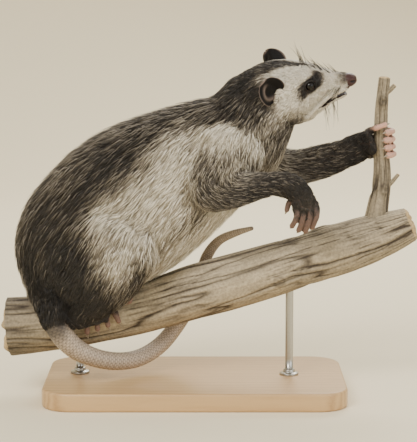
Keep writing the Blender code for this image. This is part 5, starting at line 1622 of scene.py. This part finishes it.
class OPOSSUM_OT_stand(bpy.types.Operator):
    """Makes the base and the two rods"""
    bl_idname = "opossum.stand"
    bl_label = "Stand"

    def execute(self, context):
        perch = settings("perch")
        grid = rounded_slab(perch.base_length, perch.base_width, perch.base_thick, 30 * MM, 2.5 * MM)
        middle = grid.mean((0, 1))
        inner = [np.stack([middle + (grid[k] - middle) * (f, f, 1) for f in fs])
                 for k, fs in ((0, (0.3, 0.6, 0.9)), (-1, (0.97, 0.9, 0.75, 0.6, 0.45, 0.3, 0.15)))]
        points, quads, caps = closed_tube(np.concatenate([inner[0], grid, inner[1]]), (0, 0))
        points[-2:, :2] = 0
        piece = make_piece("stand_base_board", points, [quads, caps], self.board())
        finish_piece(piece, "base_wood", "stand_base")
        # Brushed stainless steel rod with a small turned collar: bright, with soft reflections. The grain of
        # the brushing is drawn 0.7 mm long, coarse enough to show
        metal, tree, shader = new_material("brushed_steel", Roughness=0.32, Metallic=1.0)
        colour, _ = speckled(tree, (*STEEL, 1), 1500, 0.86, 1.06)
        tree.links.new(colour, shader.inputs["Base Color"])
        branch = Limb(BRANCH)
        for name, (x, y) in RODS.items():
            top = branch.row(branch.centre, np.array(share_of(branch, x, 0)))[2]
            grid = rod_grid(x * MM, y * MM, perch.base_thick, top, perch.rod_radius)
            points, quads, caps = closed_tube(grid, (0, 0))
            piece = make_piece(f"stand_rod_bar_{name}", points, [quads, caps], metal)
            finish_piece(piece, "rod_steel", f"stand_rod_{name}")
        return {"FINISHED"}

    def board(self):
        """Planed and oiled beech: rings stretched along the board, fine pores, and a soft lustre.

        Scales are in repeats a metre, along and across the board. They give rings about 6.5 mm wide and pores
        of 17 by 1.1 mm, coarse enough to show.
        """
        perch = settings("perch")
        made, tree, shader = new_material("oiled_beech", Roughness=0.42, Coat_Weight=0.15, Coat_Roughness=0.3)
        place = object_place(tree)
        long, fine = (node(tree, "ShaderNodeMapping", {"Vector": place, "Scale": scale}).outputs["Vector"]
                      for scale in ((3.0, 30.0, 30.0), (60.0, 900.0, 900.0)))
        wave = {"Vector": long, "Scale": 1.6, "Distortion": 5.0, "Detail": 3.0, "Detail Scale": 1.2}
        rings = node(tree, "ShaderNodeTexWave", wave, bands_direction="Y").outputs["Fac"]
        pore = node(tree, "ShaderNodeTexNoise", {"Vector": fine, "Scale": 1.0, "Detail": 2.0}).outputs["Fac"]
        grain = node(tree, "ShaderNodeMath", {0: rings, 1: pore}, operation="MULTIPLY").outputs[0]
        colours = {0: grain, 6: (*perch.base_light, 1), 7: (*perch.base_dark, 1)}
        colour = node(tree, "ShaderNodeMix", colours, data_type="RGBA").outputs[2]
        tree.links.new(colour, shader.inputs["Base Color"])
        raise_surface(tree, shader, pore, 0.1 * MM, 0.5)
        return made


def area_light(name, place, target, size, power, colour):
    """A square soft light at place, turned to target."""
    lamp = bpy.data.lights.new(name, "AREA")
    lamp.size, lamp.energy, lamp.color = size, power, colour
    obj = bpy.data.objects.new(name, lamp)
    obj.matrix_world = looking(place, target)
    bpy.context.scene.collection.objects.link(obj)


def looking(place, target):
    """The matrix of an object at place whose -Z points at target, with +Y upwards."""
    way = Vector(target) - Vector(place)
    matrix = way.to_track_quat("-Z", "Y").to_matrix().to_4x4()
    matrix.translation = Vector(place)
    return matrix


class OPOSSUM_OT_stage(bpy.types.Operator):
    """Sets the camera at the picture's angle, the soft lights, and the pale floor that curves up behind"""
    bl_idname = "opossum.stage"
    bl_label = "Stage"

    def execute(self, context):
        stage = settings("stage")
        target = np.array(VIEW_MIDDLE) * MM
        back = np.array([0, -math.cos(stage.elevation), math.sin(stage.elevation)])
        camera = bpy.data.cameras.new("camera")
        camera.sensor_width = 36.0
        camera.lens = camera.sensor_width * stage.distance / stage.view_height
        obj = bpy.data.objects.new("camera", camera)
        obj.matrix_world = looking(target + back * stage.distance, target)
        context.scene.collection.objects.link(obj)
        context.scene.camera = obj
        middle = (0, 0, 0.2)
        area_light("key", (-0.9, -1.6, 1.7), middle, 1.0, stage.key, (1.0, 0.97, 0.92))
        area_light("fill", (1.6, -1.2, 0.9), middle, 1.4, stage.key * 0.4, (0.95, 0.97, 1.0))
        area_light("rim", (0.4, 1.5, 1.5), middle, 1.0, stage.key * 0.7, (1.0, 0.98, 0.95))
        world = bpy.data.worlds.new("studio")
        context.scene.world = world
        world.use_nodes = True
        sky = world.node_tree.nodes["Background"].inputs
        sky["Color"].default_value, sky["Strength"].default_value = (*DAYLIGHT, 1), 0.95
        # Matt seamless paper, flat under the stand and rolled up behind it
        paper = new_material("seamless_paper", Base_Color=(*stage.floor, 1), Roughness=0.9)[0]
        grid = self.backdrop()
        make_piece("floor", grid.reshape(-1, 3), [grid_quads(*grid.shape[:2])], paper)
        return {"FINISHED"}

    def backdrop(self):
        """Rows of the paper: straight to 1.6 m behind, then a quarter circle of 1.2 m, then straight up."""
        bend, radius, wall_top, below = 1.6, 1.2, 4.0, 0.0002
        a = np.radians(np.linspace(9, 90, 10))
        y = np.concatenate([np.linspace(-4, bend, 12), bend + radius * np.sin(a), [bend + radius]])
        z = np.concatenate([np.zeros(12), radius * (1 - np.cos(a)), [wall_top]])
        x = np.linspace(-5, 5, 9)
        return np.stack(np.broadcast_arrays(x[None, :], y[:, None], z[:, None] - below), -1)


class OPOSSUM_PT_panel(bpy.types.Panel):
    """Lists what the model is made of"""
    bl_idname = "OPOSSUM_PT_panel"
    bl_label = "Opossum"
    bl_space_type = "VIEW_3D"
    bl_region_type = "UI"
    bl_category = "Opossum"

    def draw(self, context):
        for group in GROUPS:
            box = self.layout.box()
            for name in GROUPS[group].__annotations__:
                box.prop(settings(group), name)
        for operator in OPERATORS:
            self.layout.operator(operator.bl_idname)


GROUPS = {"body": BodySettings, "coat": CoatSettings, "perch": PerchSettings, "stage": StageSettings}
OPERATORS = (
    OPOSSUM_OT_skin, OPOSSUM_OT_coat, OPOSSUM_OT_eyes, OPOSSUM_OT_ears, OPOSSUM_OT_nose, OPOSSUM_OT_claws,
    OPOSSUM_OT_tail, OPOSSUM_OT_whiskers, OPOSSUM_OT_perch, OPOSSUM_OT_stand, OPOSSUM_OT_stage,
)


def register():
    """Adds the classes, and each group of settings to the scene."""
    for made in (*GROUPS.values(), *OPERATORS, OPOSSUM_PT_panel):
        bpy.utils.register_class(made)
    for name, group in GROUPS.items():
        setattr(bpy.types.Scene, "opossum_" + name, bpy.props.PointerProperty(type=group))


def unregister():
    """Takes away what register adds."""
    for name in GROUPS:
        delattr(bpy.types.Scene, "opossum_" + name)
    for made in (OPOSSUM_PT_panel, *reversed(OPERATORS), *reversed(GROUPS.values())):
        bpy.utils.unregister_class(made)


def main():
    """Makes every piece and the stage."""
    register()
    for operator in OPERATORS:
        group, name = operator.bl_idname.split(".")
        getattr(getattr(bpy.ops, group), name)()


if __name__ == "__main__":
    main()
